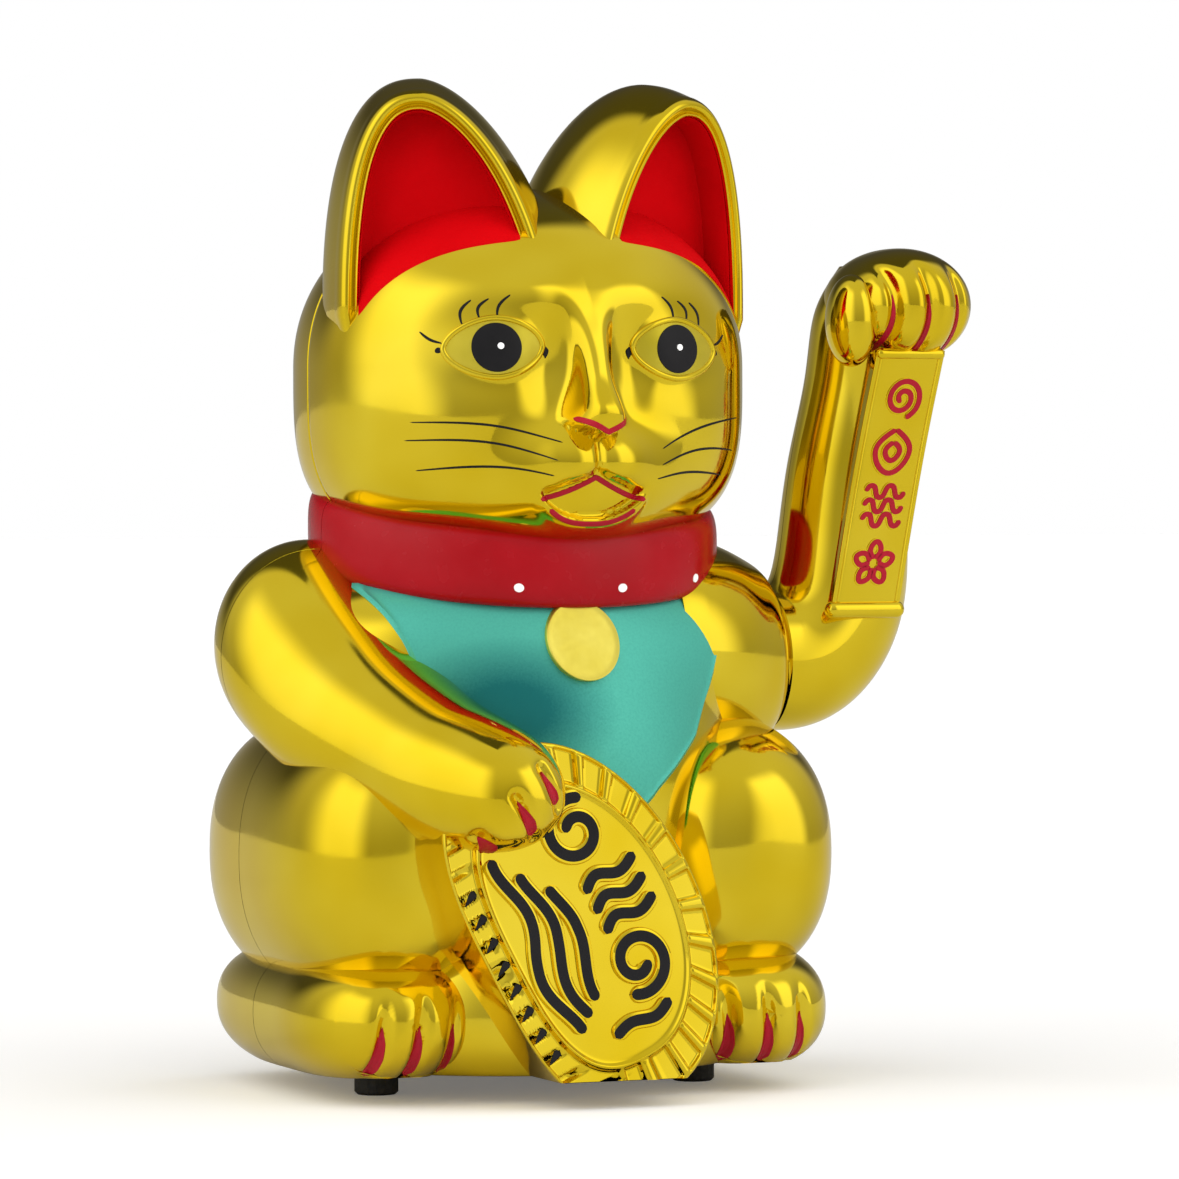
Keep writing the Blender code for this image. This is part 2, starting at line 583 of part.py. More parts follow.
def door_box(clearance):
    """The battery door's corners, or with a clearance those of its seat in the plate."""
    half_x = CELL_LENGTH / 2 + CONTACT_ROOM + DOOR_LEDGE - DOOR_CLEARANCE
    half_y = 2 * CELL_RADIUS + 2 * GAP + DOOR_LEDGE - DOOR_CLEARANCE
    low = PLATE_BOTTOM - (5 * MM if clearance else 0)
    high = PLATE_BOTTOM + DOOR_THICKNESS + (GAP if clearance else 0)
    grown = np.array((half_x + clearance, half_y + clearance))
    middle = np.array((BAY_X, BAY_Y))
    return (*(middle - grown), low), (*(middle + grown), high)


def battery_door():
    """The door under the bay, with a finger ridge and a latch tab that stands inside the bay's end."""
    low, high = door_box(0)
    pivot = empty("door_slide", (BAY_X, BAY_Y, low[2]))
    door = place(box_mesh(low, high, "battery_door"), "battery_door", pivot, "plate_black")
    ridge_x = low[0] + 6 * MM
    half = LATCH_WIDTH / 2
    ridge = box_mesh(
        (ridge_x - MM, BAY_Y - half, low[2] - RIDGE_HEIGHT), (ridge_x + MM, BAY_Y + half, low[2] + MM), "ridge"
    )
    cut(door, place(ridge, "door_ridge", pivot), "UNION")
    tab_x = BAY_X - CELL_LENGTH / 2 - CONTACT_ROOM + GAP
    tab = box_mesh(
        (tab_x, BAY_Y - half / 2, high[2] - MM), (tab_x + TAB_THICKNESS, BAY_Y + half / 2, high[2] + TAB_HEIGHT), "tab"
    )
    cut(door, place(tab, "door_tab", pivot), "UNION")


def battery_cells():
    """Two cells, turned end for end, each with its button."""
    for index, way in ((1, 1), (2, -1)):
        centre = (BAY_X, BAY_Y + way * (CELL_RADIUS + GAP / 2), bay_floor() + CELL_RADIUS)
        half = CELL_LENGTH / 2
        shoulder = half - BUTTON_HEIGHT
        profile = [(CELL_RADIUS, -half), (CELL_RADIUS, shoulder), (BUTTON_RADIUS, shoulder), (BUTTON_RADIUS, half)]
        profile = [(r, way * d) for r, d in profile]
        name = f"battery_cell_{index}"
        place(turned_mesh(profile, 0, centre, name), name, ROOT, "cell_wrap")


def battery_contacts():
    """A coil spring on each cell's flat end, and plates at both ends of the bay."""
    half = CELL_LENGTH / 2 + CONTACT_ROOM
    z = bay_floor() + CELL_RADIUS
    for index, way in ((1, 1), (2, -1)):
        y = BAY_Y + way * (CELL_RADIUS + GAP / 2)
        end = BAY_X - way * half
        spring_contact(f"contact_spring_{index}", end, y, z, way)
        x = BAY_X + way * (half - GAP)
        reach = x - way * (half - CELL_LENGTH / 2 - 2 * GAP)
        tab = box_mesh((x, y - 5 * MM, z - 5 * MM), (x - way * 0.6 * MM, y + 5 * MM, z + 5 * MM), "tab")
        plate = place(tab, f"contact_plate_{index}", ROOT, "steel")
        nose = turned_mesh([(2.2 * MM, 0), (1.6 * MM, 1)], 0, (0, y, z), "nose", 12)
        for vertex in nose.vertices:
            vertex.co.x = reach if vertex.co.x > 0.5 else x - way * 0.3 * MM
        work = bmesh.new()
        work.from_mesh(nose)
        bmesh.ops.recalc_face_normals(work, faces=work.faces)
        work.to_mesh(nose)
        work.free()
        cut(plate, place(nose, f"contact_nose_{index}", ROOT), "UNION")


def spring_contact(name, end, y, z, way):
    """A coil spring, as one round wire swept along a shrinking helix."""
    turns, points, wire = 2.5, 28, 0.35 * MM
    length = CONTACT_ROOM - 2 * wire - 2 * GAP
    curve = bpy.data.curves.new(name, "CURVE")
    curve.dimensions = "3D"
    curve.bevel_depth = wire
    curve.bevel_resolution = 0
    curve.use_fill_caps = True
    spline = curve.splines.new("POLY")
    spline.points.add(points - 1)
    for i, point in enumerate(spline.points):
        share = i / (points - 1)
        angle = share * turns * 2 * math.pi
        radius = (4.5 - 1.8 * share) * MM
        along = end + way * (wire + GAP + share * length)
        point.co = (along, y + radius * math.cos(angle), z + radius * math.sin(angle), 1)
    place_curve(curve, name, ROOT, "steel")


def place_curve(curve, name, parent, material):
    obj = bpy.data.objects.new(name, curve)
    bpy.context.scene.collection.objects.link(obj)
    obj.parent = parent
    curve.materials.append(bpy.data.materials.get(material) or make_material(material))
    PIECES.append(obj)


def rubber_feet():
    for name, x, y in (
        ("foot_front_right", -FRONT_FOOT[0], FRONT_FOOT[1]),
        ("foot_front_left", *FRONT_FOOT),
        ("foot_rear_right", -REAR_FOOT[0], REAR_FOOT[1]),
        ("foot_rear_left", *REAR_FOOT),
    ):
        top = PLATE_BOTTOM - GAP
        ends = FOOT_RADIUS - FOOT_CHAMFER
        profile = [(ends, 0), (FOOT_RADIUS, FOOT_CHAMFER), (FOOT_RADIUS, top - MM), (ends, top)]
        place(turned_mesh(profile, 2, (x, y, 0), name), name, ROOT, "rubber")


def screw(name, place_at, up, material="steel", length=SCREW_LENGTH):
    """A pan-head screw with its head at the place and its shank going up or down along Z."""
    profile = [
        (0.8 * SCREW_HEAD_RADIUS, 0),
        (SCREW_HEAD_RADIUS, 0.4 * SCREW_HEAD),
        (SCREW_HEAD_RADIUS, SCREW_HEAD),
        (SCREW_RADIUS, SCREW_HEAD),
        (SCREW_RADIUS, length - MM),
        (0.5 * SCREW_RADIUS, length),
    ]
    profile = [(r, d if up else -d) for r, d in profile]
    piece = place(turned_mesh(profile, 2, place_at, name, 10), name, ROOT, material)
    x, y, z = place_at
    slot = box_mesh(
        (x - 2 * MM, y - 0.3 * MM, z - 0.7 * MM), (x + 2 * MM, y + 0.3 * MM, z + 0.7 * MM), "slot"
    )
    cut(piece, place(slot, name + "_slot", ROOT))


def base_screws():
    number = 1
    for front in (True, False):
        for _, _, (x, y) in boss_places(front):
            screw(f"base_screw_{number}", (x, y, PLATE_BOTTOM - SCREW_HEAD / 2 - GAP), True)
            number += 1


# ---------------------------------------------------------------- electrics


def board_posts():
    """The two places of the board's posts, near its front corners."""
    x, y = BOARD_CENTRE
    for way in (-1, 1):
        yield x + way * (BOARD_SIZE[0] / 2 - POST_INSET), y - BOARD_SIZE[1] / 2 + POST_INSET


def circuit_board():
    """The driver board on two posts, with its transistor and capacitor standing on it."""
    x, y = BOARD_CENTRE
    low = PLATE_TOP + BOARD_POST + GAP
    high = low + BOARD_SIZE[2]
    half_x, half_y = BOARD_SIZE[0] / 2, BOARD_SIZE[1] / 2
    board = place(box_mesh((x - half_x, y - half_y, low), (x + half_x, y + half_y, high), "board"),
                  "circuit_board", ROOT, "board")
    for number, (post_x, post_y) in enumerate(board_posts(), 1):
        drill(board, 2, (post_x, post_y, low), SCREW_RADIUS + GAP, 4 * BOARD_SIZE[2], 12)
        screw(f"board_screw_{number}", (post_x, post_y, high + GAP + SCREW_HEAD), False, length=6 * MM)
    can = [(CAPACITOR_RADIUS, 0), (CAPACITOR_RADIUS, CAPACITOR_HEIGHT)]
    place(turned_mesh(can, 2, (x - 4 * MM, y + 4 * MM, high + GAP), "can", 16), "capacitor", ROOT, "component")
    arc = [(math.cos(a), max(math.sin(a), -0.4)) for a in np.linspace(0, 2 * math.pi, 16, endpoint=False)]
    rings = [[(x + 8 * MM + 2.3 * MM * c, y + 4 * MM + 2.3 * MM * s, z) for c, s in arc]
             for z in (high + GAP, high + GAP + 4.6 * MM)]
    place(loft(rings, "transistor"), "transistor", ROOT, "component")


def power_switch():
    """A slide switch on the plate, whose knob reaches down through the plate's slot."""
    x, y = SWITCH_CENTRE
    low = PLATE_TOP + GAP
    half_x, half_y = SWITCH_BODY[0] / 2, SWITCH_BODY[1] / 2
    case = box_mesh((x - half_x, y - half_y, low), (x + half_x, y + half_y, low + SWITCH_BODY[2]), "case")
    body = place(case, "switch_body", ROOT, "component")
    pocket = box_mesh(
        (x - SWITCH_TRAVEL - KNOB[0] / 2, y - KNOB[1] / 2 - GAP, low - MM),
        (x + SWITCH_TRAVEL + KNOB[0] / 2, y + KNOB[1] / 2 + GAP, low + 3 * MM),
        "pocket",
    )
    cut(body, place(pocket, "switch_pocket", ROOT))
    start = x - SWITCH_TRAVEL / 2
    pivot = empty("switch_slide", (start, y, low))
    knob = box_mesh(
        (start - KNOB[0] / 2, y - KNOB[1] / 2, PLATE_BOTTOM - 1.5 * MM),
        (start + KNOB[0] / 2, y + KNOB[1] / 2, low + 3 * MM - GAP),
        "switch_knob",
    )
    place(knob, "switch_knob", pivot, "white_plastic")


def drive_coil():
    """The bobbin on the mechanism's floor under the magnet, its winding, and its iron core."""
    low = FRAME_BOTTOM + FRAME_FLOOR + GAP
    x, y = MECHANISM_X, PENDULUM_OFFSET
    core, flange = COIL_CORE_RADIUS, COIL_RADIUS + MM
    top = 2 * BOBBIN_FLANGE + COIL_HEIGHT
    profile = [(flange, 0), (flange, BOBBIN_FLANGE), (core, BOBBIN_FLANGE), (core, top - BOBBIN_FLANGE),
               (flange, top - BOBBIN_FLANGE), (flange, top)]
    bobbin = place(turned_mesh(profile, 2, (x, y, low), "coil_bobbin"), "coil_bobbin", ROOT, "white_plastic")
    drill(bobbin, 2, (x, y, low), COIL_CORE_RADIUS / 2 + GAP, 2 * top, 16)
    edge = BOBBIN_FLANGE + GAP
    ring = turned_mesh([(COIL_RADIUS, edge), (COIL_RADIUS, top - edge)], 2, (x, y, low), "coil")
    winding = place(ring, "coil_winding", ROOT, "copper")
    drill(winding, 2, (x, y, low), core + GAP, 2 * top)
    pin = [(COIL_CORE_RADIUS / 2, 0), (COIL_CORE_RADIUS / 2, top)]
    place(turned_mesh(pin, 2, (x, y, low), "coil_core", 16), "coil_core", ROOT, "steel")


def leads():
    """Insulated wires between the battery contacts, the switch, the board and the coil."""
    board_top = PLATE_TOP + BOARD_POST + GAP + BOARD_SIZE[2] + GAP + LEAD_RADIUS
    bay_end = BAY_X + CELL_LENGTH / 2 + CONTACT_ROOM + BAY_WALL + GAP + LEAD_RADIUS
    roof = PLATE_TOP + 12 * MM
    board_x, board_y = BOARD_CENTRE
    switch_x, switch_y = SWITCH_CENTRE
    switch_top = PLATE_TOP + GAP + SWITCH_BODY[2] + GAP + LEAD_RADIUS
    coil_side = MECHANISM_X - CHEEK_SPREAD / 2 - CHEEK_THICKNESS - 2 * MM
    routes = {
        "battery_lead_red": ("red_wire", (
            (bay_end, BAY_Y - 9 * MM, roof),
            (bay_end + MM, BAY_Y - 18 * MM, roof - 3 * MM),
            (switch_x + 2 * MM, switch_y + 14 * MM, switch_top + 3 * MM),
            (switch_x + 3 * MM, switch_y, switch_top))),
        "battery_lead_black": ("black_wire", (
            (BAY_X - 8 * MM, BAY_Y - 18.5 * MM, roof),
            (BAY_X - 9 * MM, BAY_Y - 21 * MM, roof + 2 * MM),
            (board_x - 10 * MM, board_y + 9 * MM, board_top + 4 * MM),
            (board_x - 12 * MM, board_y + 5 * MM, board_top))),
        "switch_lead": ("red_wire", (
            (switch_x - 4 * MM, switch_y, switch_top),
            (switch_x - 8 * MM, switch_y, switch_top + 3 * MM),
            (board_x + 18 * MM, board_y, board_top + 2 * MM),
            (board_x + 14 * MM, board_y - 2 * MM, board_top))),
        "coil_lead": ("black_wire", (
            (coil_side, -4 * MM, FRAME_BOTTOM + 20 * MM),
            (coil_side - MM, -12 * MM, FRAME_BOTTOM + 18 * MM),
            (board_x + 20 * MM, board_y + 10 * MM, board_top + 6 * MM),
            (board_x + 13 * MM, board_y + 4 * MM, board_top))),
    }
    for name, (material, points) in routes.items():
        curve = bpy.data.curves.new(name, "CURVE")
        curve.dimensions = "3D"
        curve.bevel_depth = LEAD_RADIUS
        curve.bevel_resolution = 1
        curve.use_fill_caps = True
        spline = curve.splines.new("POLY")
        line = smooth_line(points, 10)
        spline.points.add(len(line) - 1)
        for point, co in zip(spline.points, line):
            point.co = (*co, 1)
        place_curve(curve, name, ROOT, material)


def smooth_line(points, count):
    """Points along the Bezier curve that the four control points give."""
    a, b, c, d = (np.array(p, float) for p in points)
    return [(1 - t) ** 3 * a + 3 * t * (1 - t) ** 2 * b + 3 * t * t * (1 - t) * c + t**3 * d
            for t in np.linspace(0, 1, count)]


# ---------------------------------------------------------------- mechanism


def mechanism_frame():
    """A floor with two upright cheeks that carry the axle, screwed to the base plate."""
    x = MECHANISM_X
    half_x = CHEEK_SPREAD / 2 + CHEEK_THICKNESS
    top = AXLE_Z + 10 * MM
    middle = PENDULUM_OFFSET
    floor = box_mesh(
        (x - half_x, middle - FLOOR_DEPTH / 2, FRAME_BOTTOM),
        (x + half_x, middle + FLOOR_DEPTH / 2, FRAME_BOTTOM + FRAME_FLOOR),
        "floor",
    )
    frame = place(floor, "mechanism_frame", ROOT, "white_plastic")
    for way in (-1, 1):
        inner = x + way * CHEEK_SPREAD / 2
        outer = inner + way * CHEEK_THICKNESS
        outline = [(-CHEEK_WIDTH / 2, FRAME_BOTTOM + MM), (CHEEK_WIDTH / 2, FRAME_BOTTOM + MM),
                   (BUSH_FLANGE_RADIUS + 2 * MM, top), (-BUSH_FLANGE_RADIUS - 2 * MM, top)]
        cheek = loft([[(side, y, z) for y, z in outline] for side in (inner, outer)], "cheek")
        cut(frame, place(cheek, f"cheek_{way}", ROOT), "UNION")
    drill(frame, 0, (x, 0, AXLE_Z), BUSH_RADIUS + 0.2 * MM, 2 * CHEEK_SPREAD)
    for number, way in enumerate((-1, 1), 1):
        y = middle + way * (FLOOR_DEPTH / 2 - 4.5 * MM)
        drill(frame, 2, (x, y, FRAME_BOTTOM), SCREW_RADIUS + GAP, 4 * FRAME_FLOOR, 12)
        base = bpy.data.objects["base_plate"]
        drill(base, 2, (x, y, PLATE_TOP), SCREW_RADIUS + GAP, 4 * PLATE_THICKNESS, 12)
        head = FRAME_BOTTOM + FRAME_FLOOR + GAP + SCREW_HEAD
        screw(f"frame_screw_{number}", (x, y, head), False, length=SCREW_HEAD + FRAME_FLOOR + PLATE_THICKNESS)
        bush(number, x + way * CHEEK_SPREAD / 2, way)


def bush(number, face, way):
    """A flanged bearing bush in one cheek, its flange on the inside."""
    centre = (face, 0, AXLE_Z)
    profile = [
        (BUSH_FLANGE_RADIUS, -way * (GAP + MM)),
        (BUSH_FLANGE_RADIUS, -way * GAP),
        (BUSH_RADIUS, -way * GAP),
        (BUSH_RADIUS, way * (CHEEK_THICKNESS - GAP)),
    ]
    piece = place(turned_mesh(profile, 0, centre, f"bush_{number}"), f"bush_{number}", ROOT, "brass")
    drill(piece, 0, centre, AXLE_RADIUS + AXLE_CLEARANCE, 10 * MM)


def hub_face():
    """Where the arm's hub starts: just outside the shoulder's widest point round the axle."""
    headings = np.linspace(-0.4, 0.4, 17)
    heights = AXLE_Z + np.linspace(-22 * MM, 22 * MM, 13)
    widest = max(float((figure_radius(headings, z) * np.cos(headings)).max()) for z in heights)
    return widest + ARM_BODY_GAP


def elbow_rings(inset, face):
    """The arm's lower end: rings round the axle's line, out from the hub face."""
    angles = np.arange(ARM_SIDES) * 2 * math.pi / ARM_SIDES
    rings = []
    for radius, out in ELBOW_PROFILE:
        size = max(radius * MM - inset, MM)
        x = face + max(out * MM, inset) - (inset if (radius, out) == ELBOW_PROFILE[-1] else 0)
        rings.append([(x, size * math.cos(a), AXLE_Z + size * math.sin(a)) for a in angles])
    return rings


def forearm_rings(inset, face):
    angles = np.arange(ARM_SIDES) * 2 * math.pi / ARM_SIDES
    rings = []
    for up, out, forward, half_width, half_depth in FOREARM_SECTIONS:
        wide, deep = half_width * MM - inset, half_depth * MM - inset
        x, y, z = face + out * MM, forward * MM, AXLE_Z + up * MM
        rings.append([(x + wide * math.cos(a), y + deep * math.sin(a), z) for a in angles])
    return rings


def ball_rings(centre, radii, inset, count=9):
    angles = np.arange(ARM_SIDES) * 2 * math.pi / ARM_SIDES
    rings = []
    for polar in np.linspace(0.12, math.pi - 0.12, count):
        level = [math.sin(polar) * (r - inset) for r in radii[:2]]
        z = centre[2] + math.cos(polar) * (radii[2] - inset)
        x_size, y_size = level[:2]
        rings.append([(centre[0] + x_size * math.cos(a), centre[1] + y_size * math.sin(a), z) for a in angles])
    return rings


def raised_arm():
    """The two half shells of the arm, the hub inside them, and the balance that hangs from the axle."""
    pivot = empty("arm_pivot", (MECHANISM_X, 0, AXLE_Z))
    face = hub_face()
    paw = np.array(PAW_CENTRE) * MM + (face, 0, AXLE_Z)
    paw_radii = np.array(PAW_RADII) * MM
    for name, front in (("arm_front_shell", True), ("arm_rear_shell", False)):
        half = place(loft(elbow_rings(0, face), name), name, pivot, "gold")
        forearm = place(loft(forearm_rings(0, face), "forearm"), name + "_forearm", pivot)
        cut(half, forearm, "UNION")
        cut(half, place(loft(ball_rings(paw, paw_radii, 0), "paw"), name + "_paw", pivot), "UNION")
        if front:
            add_banner(half, face, pivot)
        ball = ball_rings(paw, paw_radii, ARM_WALL)
        insides = elbow_rings(ARM_WALL, face), forearm_rings(ARM_WALL, face), ball
        for number, rings in enumerate(insides):
            cut(half, place(loft(rings, "inside"), f"{name}_inside_{number}", pivot))
        reach = FIGURE_HEIGHT
        near = -SEAM_GAP / 2 if front else SEAM_GAP / 2
        other = box_mesh((-reach, near, -reach), (2 * reach, reach if front else -reach, 2 * reach), "other")
        cut(half, place(other, name + "_other_half", pivot))
        drill(half, 0, (face, 0, AXLE_Z), AXLE_RADIUS + GAP, 3 * ARM_WALL)
    hub_profile = [(8 * MM, ARM_WALL + GAP), (8 * MM, ARM_WALL + 5 * MM), (4 * MM, ARM_WALL + 9 * MM)]
    hub = place(turned_mesh(hub_profile, 0, (face, 0, AXLE_Z), "arm_hub"), "arm_hub", pivot, "white_plastic")
    drill(hub, 0, (face, 0, AXLE_Z), AXLE_RADIUS + 0.1 * MM, 20 * MM)
    inner_end = MECHANISM_X - CHEEK_SPREAD / 2 - CHEEK_THICKNESS - 4 * MM
    outer_end = face + ARM_WALL + 8 * MM
    axle = turned_mesh([(AXLE_RADIUS, inner_end), (AXLE_RADIUS, outer_end)], 0, (0, 0, AXLE_Z), "axle")
    place(axle, "arm_axle", pivot, "steel")
    clip_profile = [(3.2 * MM, inner_end + MM), (3.2 * MM, inner_end + 2.2 * MM)]
    clip = place(turned_mesh(clip_profile, 0, (0, 0, AXLE_Z), "axle_clip", 16), "axle_clip", pivot, "steel")
    drill(clip, 0, (inner_end, 0, AXLE_Z), AXLE_RADIUS + 0.1 * MM, 10 * MM)
    pendulum(pivot)


def add_banner(half, face, pivot):
    """The scroll that the paw holds: a curved strip in front of the forearm with a roll at each end."""
    points = [np.array((face + x * MM, y * MM, AXLE_Z + z * MM)) for x, y, z in BANNER_SECTIONS]
    rings = []
    for point in points:
        left, right = point - (BANNER_WIDTH / 2, 0, 0), point + (BANNER_WIDTH / 2, 0, 0)
        deep = np.array((0, BANNER_THICKNESS, 0))
        rings.append([left, right, right + deep, left + deep])
    strip = place(loft(rings, "banner"), half.name + "_banner", pivot)
    cut(half, strip, "UNION")
    for point in (points[0], points[-1]):
        centre = point + (0, BANNER_THICKNESS / 2, 0)
        reach = BANNER_WIDTH / 2 + 1.5 * MM
        roll = turned_mesh([(BANNER_ROLL_RADIUS, -reach), (BANNER_ROLL_RADIUS, reach)], 0, centre, "roll", 16)
        cut(half, place(roll, f"{half.name}_roll_{point[2]:.3f}", pivot), "UNION")
    web_profile = [np.array(p) + (0, BANNER_THICKNESS / 2, 0) for p in points]
    width = 0.6 * BANNER_WIDTH
    rings = []
    for point in web_profile:
        left, right = point - (width / 2, 0, 0), point + (width / 2, 0, 0)
        deep = np.array((0, abs(point[1]) - 5 * MM, 0))
        rings.append([left, right, right + deep, left + deep])
    cut(half, place(loft(rings, "web"), half.name + "_web", pivot), "UNION")


def pendulum(pivot):
    """The balance: a rod on the axle with a steel weight and the magnet that the coil pushes."""
    x = MECHANISM_X
    lean = math.atan2(PENDULUM_OFFSET, PENDULUM_LENGTH)
    magnet_top = MAGNET_Z + MAGNET_THICKNESS / 2
    weight_z = magnet_top + 3 * MM + WEIGHT_RADIUS
    hub_half = CHEEK_SPREAD / 2 - 3 * MM
    profile = [(PENDULUM_HUB_RADIUS, -hub_half), (PENDULUM_HUB_RADIUS, hub_half)]
    rod = place(turned_mesh(profile, 0, (x, 0, AXLE_Z), "rod"), "pendulum_rod", pivot, "white_plastic")
    half_x, half_y = ROD_THICKNESS / 2, ROD_WIDTH / 2
    bar = box_mesh((x - half_x, -half_y, magnet_top + GAP), (x + half_x, half_y, AXLE_Z), "bar")
    up = Matrix.Translation((0, 0, AXLE_Z))
    turn = up @ Matrix.Rotation(lean, 4, "X") @ up.inverted()
    bar.transform(turn)
    cut(rod, place(bar, "rod_bar", pivot), "UNION")
    dish = turned_mesh([(MAGNET_RADIUS, 0), (MAGNET_RADIUS, 2.4 * MM)], 2, (x, 0, magnet_top + GAP), "dish")
    dish.transform(turn)
    cut(rod, place(dish, "rod_dish", pivot), "UNION")
    drill(rod, 0, (x, 0, AXLE_Z), AXLE_RADIUS + 0.1 * MM, CHEEK_SPREAD)
    profile = [(WEIGHT_RADIUS, -WEIGHT_WIDTH / 2), (WEIGHT_RADIUS, WEIGHT_WIDTH / 2)]
    disc = turned_mesh(profile, 0, (x, 0, weight_z), "counterweight", 24)
    disc.transform(turn)
    weight = place(disc, "counterweight", pivot, "steel")
    side, edge = half_x + GAP, half_y + GAP
    groove = box_mesh((x - side, -edge, 0), (x + WEIGHT_WIDTH, edge, AXLE_Z - 10 * MM), "groove")
    groove.transform(turn)
    cut(weight, place(groove, "weight_groove", pivot))
    disc = turned_mesh([(MAGNET_RADIUS, 0), (MAGNET_RADIUS, MAGNET_THICKNESS)], 2,
                       (x, 0, magnet_top - MAGNET_THICKNESS), "magnet")
    disc.transform(turn)
    place(disc, "magnet", pivot, "magnet")


def centre_on_base():
    """Moves the whole figure so that its origin is on the standing surface, under the middle of its box."""
    bpy.context.view_layer.update()
    graph = bpy.context.evaluated_depsgraph_get()
    corners = []
    for piece in PIECES:
        evaluated = piece.evaluated_get(graph)
        corners += [evaluated.matrix_world @ v.co for v in evaluated.to_mesh().vertices]
        evaluated.to_mesh_clear()
    corners = np.array(corners)
    middle = (corners.min(axis=0) + corners.max(axis=0)) / 2
    ROOT.location = (-middle[0], -middle[1], 0)


def main():
    global ROOT
    for obj in list(bpy.data.objects):
        bpy.data.objects.remove(obj, do_unlink=True)
    ROOT = bpy.data.objects.new("figurine", None)
    bpy.context.scene.collection.objects.link(ROOT)
    cavity = figure_cavity()
    front = shell("front_shell", True, cavity)
    rear = shell("rear_shell", False, cavity)
    for half in (front, rear):
        drill(half, 0, (HALF_WIDTH, 0, AXLE_Z), AXLE_RADIUS + 1.5 * MM, 0.6 * HALF_WIDTH)
    base_plate()
    battery_door()
    battery_cells()
    battery_contacts()
    rubber_feet()
    base_screws()
    circuit_board()
    power_switch()
    mechanism_frame()
    drive_coil()
    leads()
    raised_arm()
    centre_on_base()


main()
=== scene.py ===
"""A waving cat figurine in gold-plated plastic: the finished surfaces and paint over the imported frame.

Sizes are in millimetres in the figure's own frame: X from the cat's middle towards its raised arm, Y back
from the seam between its two shells, Z up from the table. place_points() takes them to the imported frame.
"""

import json
import math

import bmesh
import bpy
import numpy as np
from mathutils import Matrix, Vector


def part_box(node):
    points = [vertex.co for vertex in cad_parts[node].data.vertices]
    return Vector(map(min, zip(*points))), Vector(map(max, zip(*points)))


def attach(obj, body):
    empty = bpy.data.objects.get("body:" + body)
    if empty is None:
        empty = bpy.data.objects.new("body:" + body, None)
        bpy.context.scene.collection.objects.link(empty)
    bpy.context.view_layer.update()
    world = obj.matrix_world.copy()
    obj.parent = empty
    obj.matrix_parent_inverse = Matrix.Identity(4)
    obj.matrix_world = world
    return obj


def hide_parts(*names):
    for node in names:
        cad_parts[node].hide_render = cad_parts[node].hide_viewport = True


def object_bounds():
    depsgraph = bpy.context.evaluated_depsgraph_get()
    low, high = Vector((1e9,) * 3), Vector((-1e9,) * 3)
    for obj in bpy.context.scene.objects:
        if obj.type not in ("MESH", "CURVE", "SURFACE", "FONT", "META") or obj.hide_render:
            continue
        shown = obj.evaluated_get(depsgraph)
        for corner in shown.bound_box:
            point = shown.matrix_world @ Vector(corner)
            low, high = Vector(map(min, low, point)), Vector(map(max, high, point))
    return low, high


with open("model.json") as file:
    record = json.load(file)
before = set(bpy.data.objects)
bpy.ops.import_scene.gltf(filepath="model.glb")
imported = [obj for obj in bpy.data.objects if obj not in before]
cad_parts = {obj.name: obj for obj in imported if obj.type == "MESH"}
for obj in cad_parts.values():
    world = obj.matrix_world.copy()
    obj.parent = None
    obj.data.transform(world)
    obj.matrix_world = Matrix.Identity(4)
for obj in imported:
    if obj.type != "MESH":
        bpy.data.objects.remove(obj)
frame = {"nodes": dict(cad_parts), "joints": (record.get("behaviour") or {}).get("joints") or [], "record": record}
cad_low, cad_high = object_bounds()

MM = 0.001
DESIGN_HEIGHT = 300.0  # the height that the sizes below are drawn for
PIVOT = next(joint for joint in frame["joints"] if joint["name"] == "arm_wave")["pos_m"]
LEFT_FOOT, RIGHT_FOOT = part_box("foot_front_left"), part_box("foot_front_right")
SCALE = cad_high[2] / (DESIGN_HEIGHT * MM)
ORIGIN = np.array(((LEFT_FOOT[0][0] + RIGHT_FOOT[1][0]) / 2, PIVOT[1], 0.0))
HUB_X = (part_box("arm_front_shell")[0][0] - ORIGIN[0]) / (MM * SCALE)
SHELL_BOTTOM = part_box("front_shell")[0][2] / (MM * SCALE)
SEAM = 0.15  # half of the gap between the front and rear shells
SHARP_ANGLE = math.radians(50)  # edges that turn by more than this stay crisp
MERGE_DISTANCE = 2e-6  # metres
HALVES = ((True, "front"), (False, "rear"))
SIDES = ((-1, "right"), (1, "left"))

# Head.
HEAD_Z = 214.0
HEAD_WIDE, HEAD_FRONT, HEAD_BACK, HEAD_TALL = 66.8, 57.0, 53.0, 54.0
MUZZLE_CENTRE, MUZZLE_RADII = (0.0, -30.0, 184.0), (38.0, 33.0, 24.0)
EYE_X, EYE_Z = 28.5, 219.3
EYE_HALF_WIDTH, EYE_HALF_HEIGHT = 14.2, 8.6
# Trunk lobes: centre and radii.
TRUNK_LOBES = (
    ((0, 0, 88), (66, 58, 84)),  # torso
    ((0, 2, 128), (79, 50, 36)),  # shoulders
    ((0, 22, 62), (72, 48, 56)),  # rump
    ((0, -1, 24), (72, 66, 44)),  # lap
    ((0, 14, 22), (72, 58, 46)),  # skirt
    ((0, 18, 150), (56, 38, 32)),  # nape
)
TRUNK_TOP = 168
COLLAR_RADII, COLLAR_Y, COLLAR_Z = (62.7, 53.0), 3.0, 163.5
COLLAR_HALF_HEIGHT, COLLAR_SLOPE = 11.5, 0.19
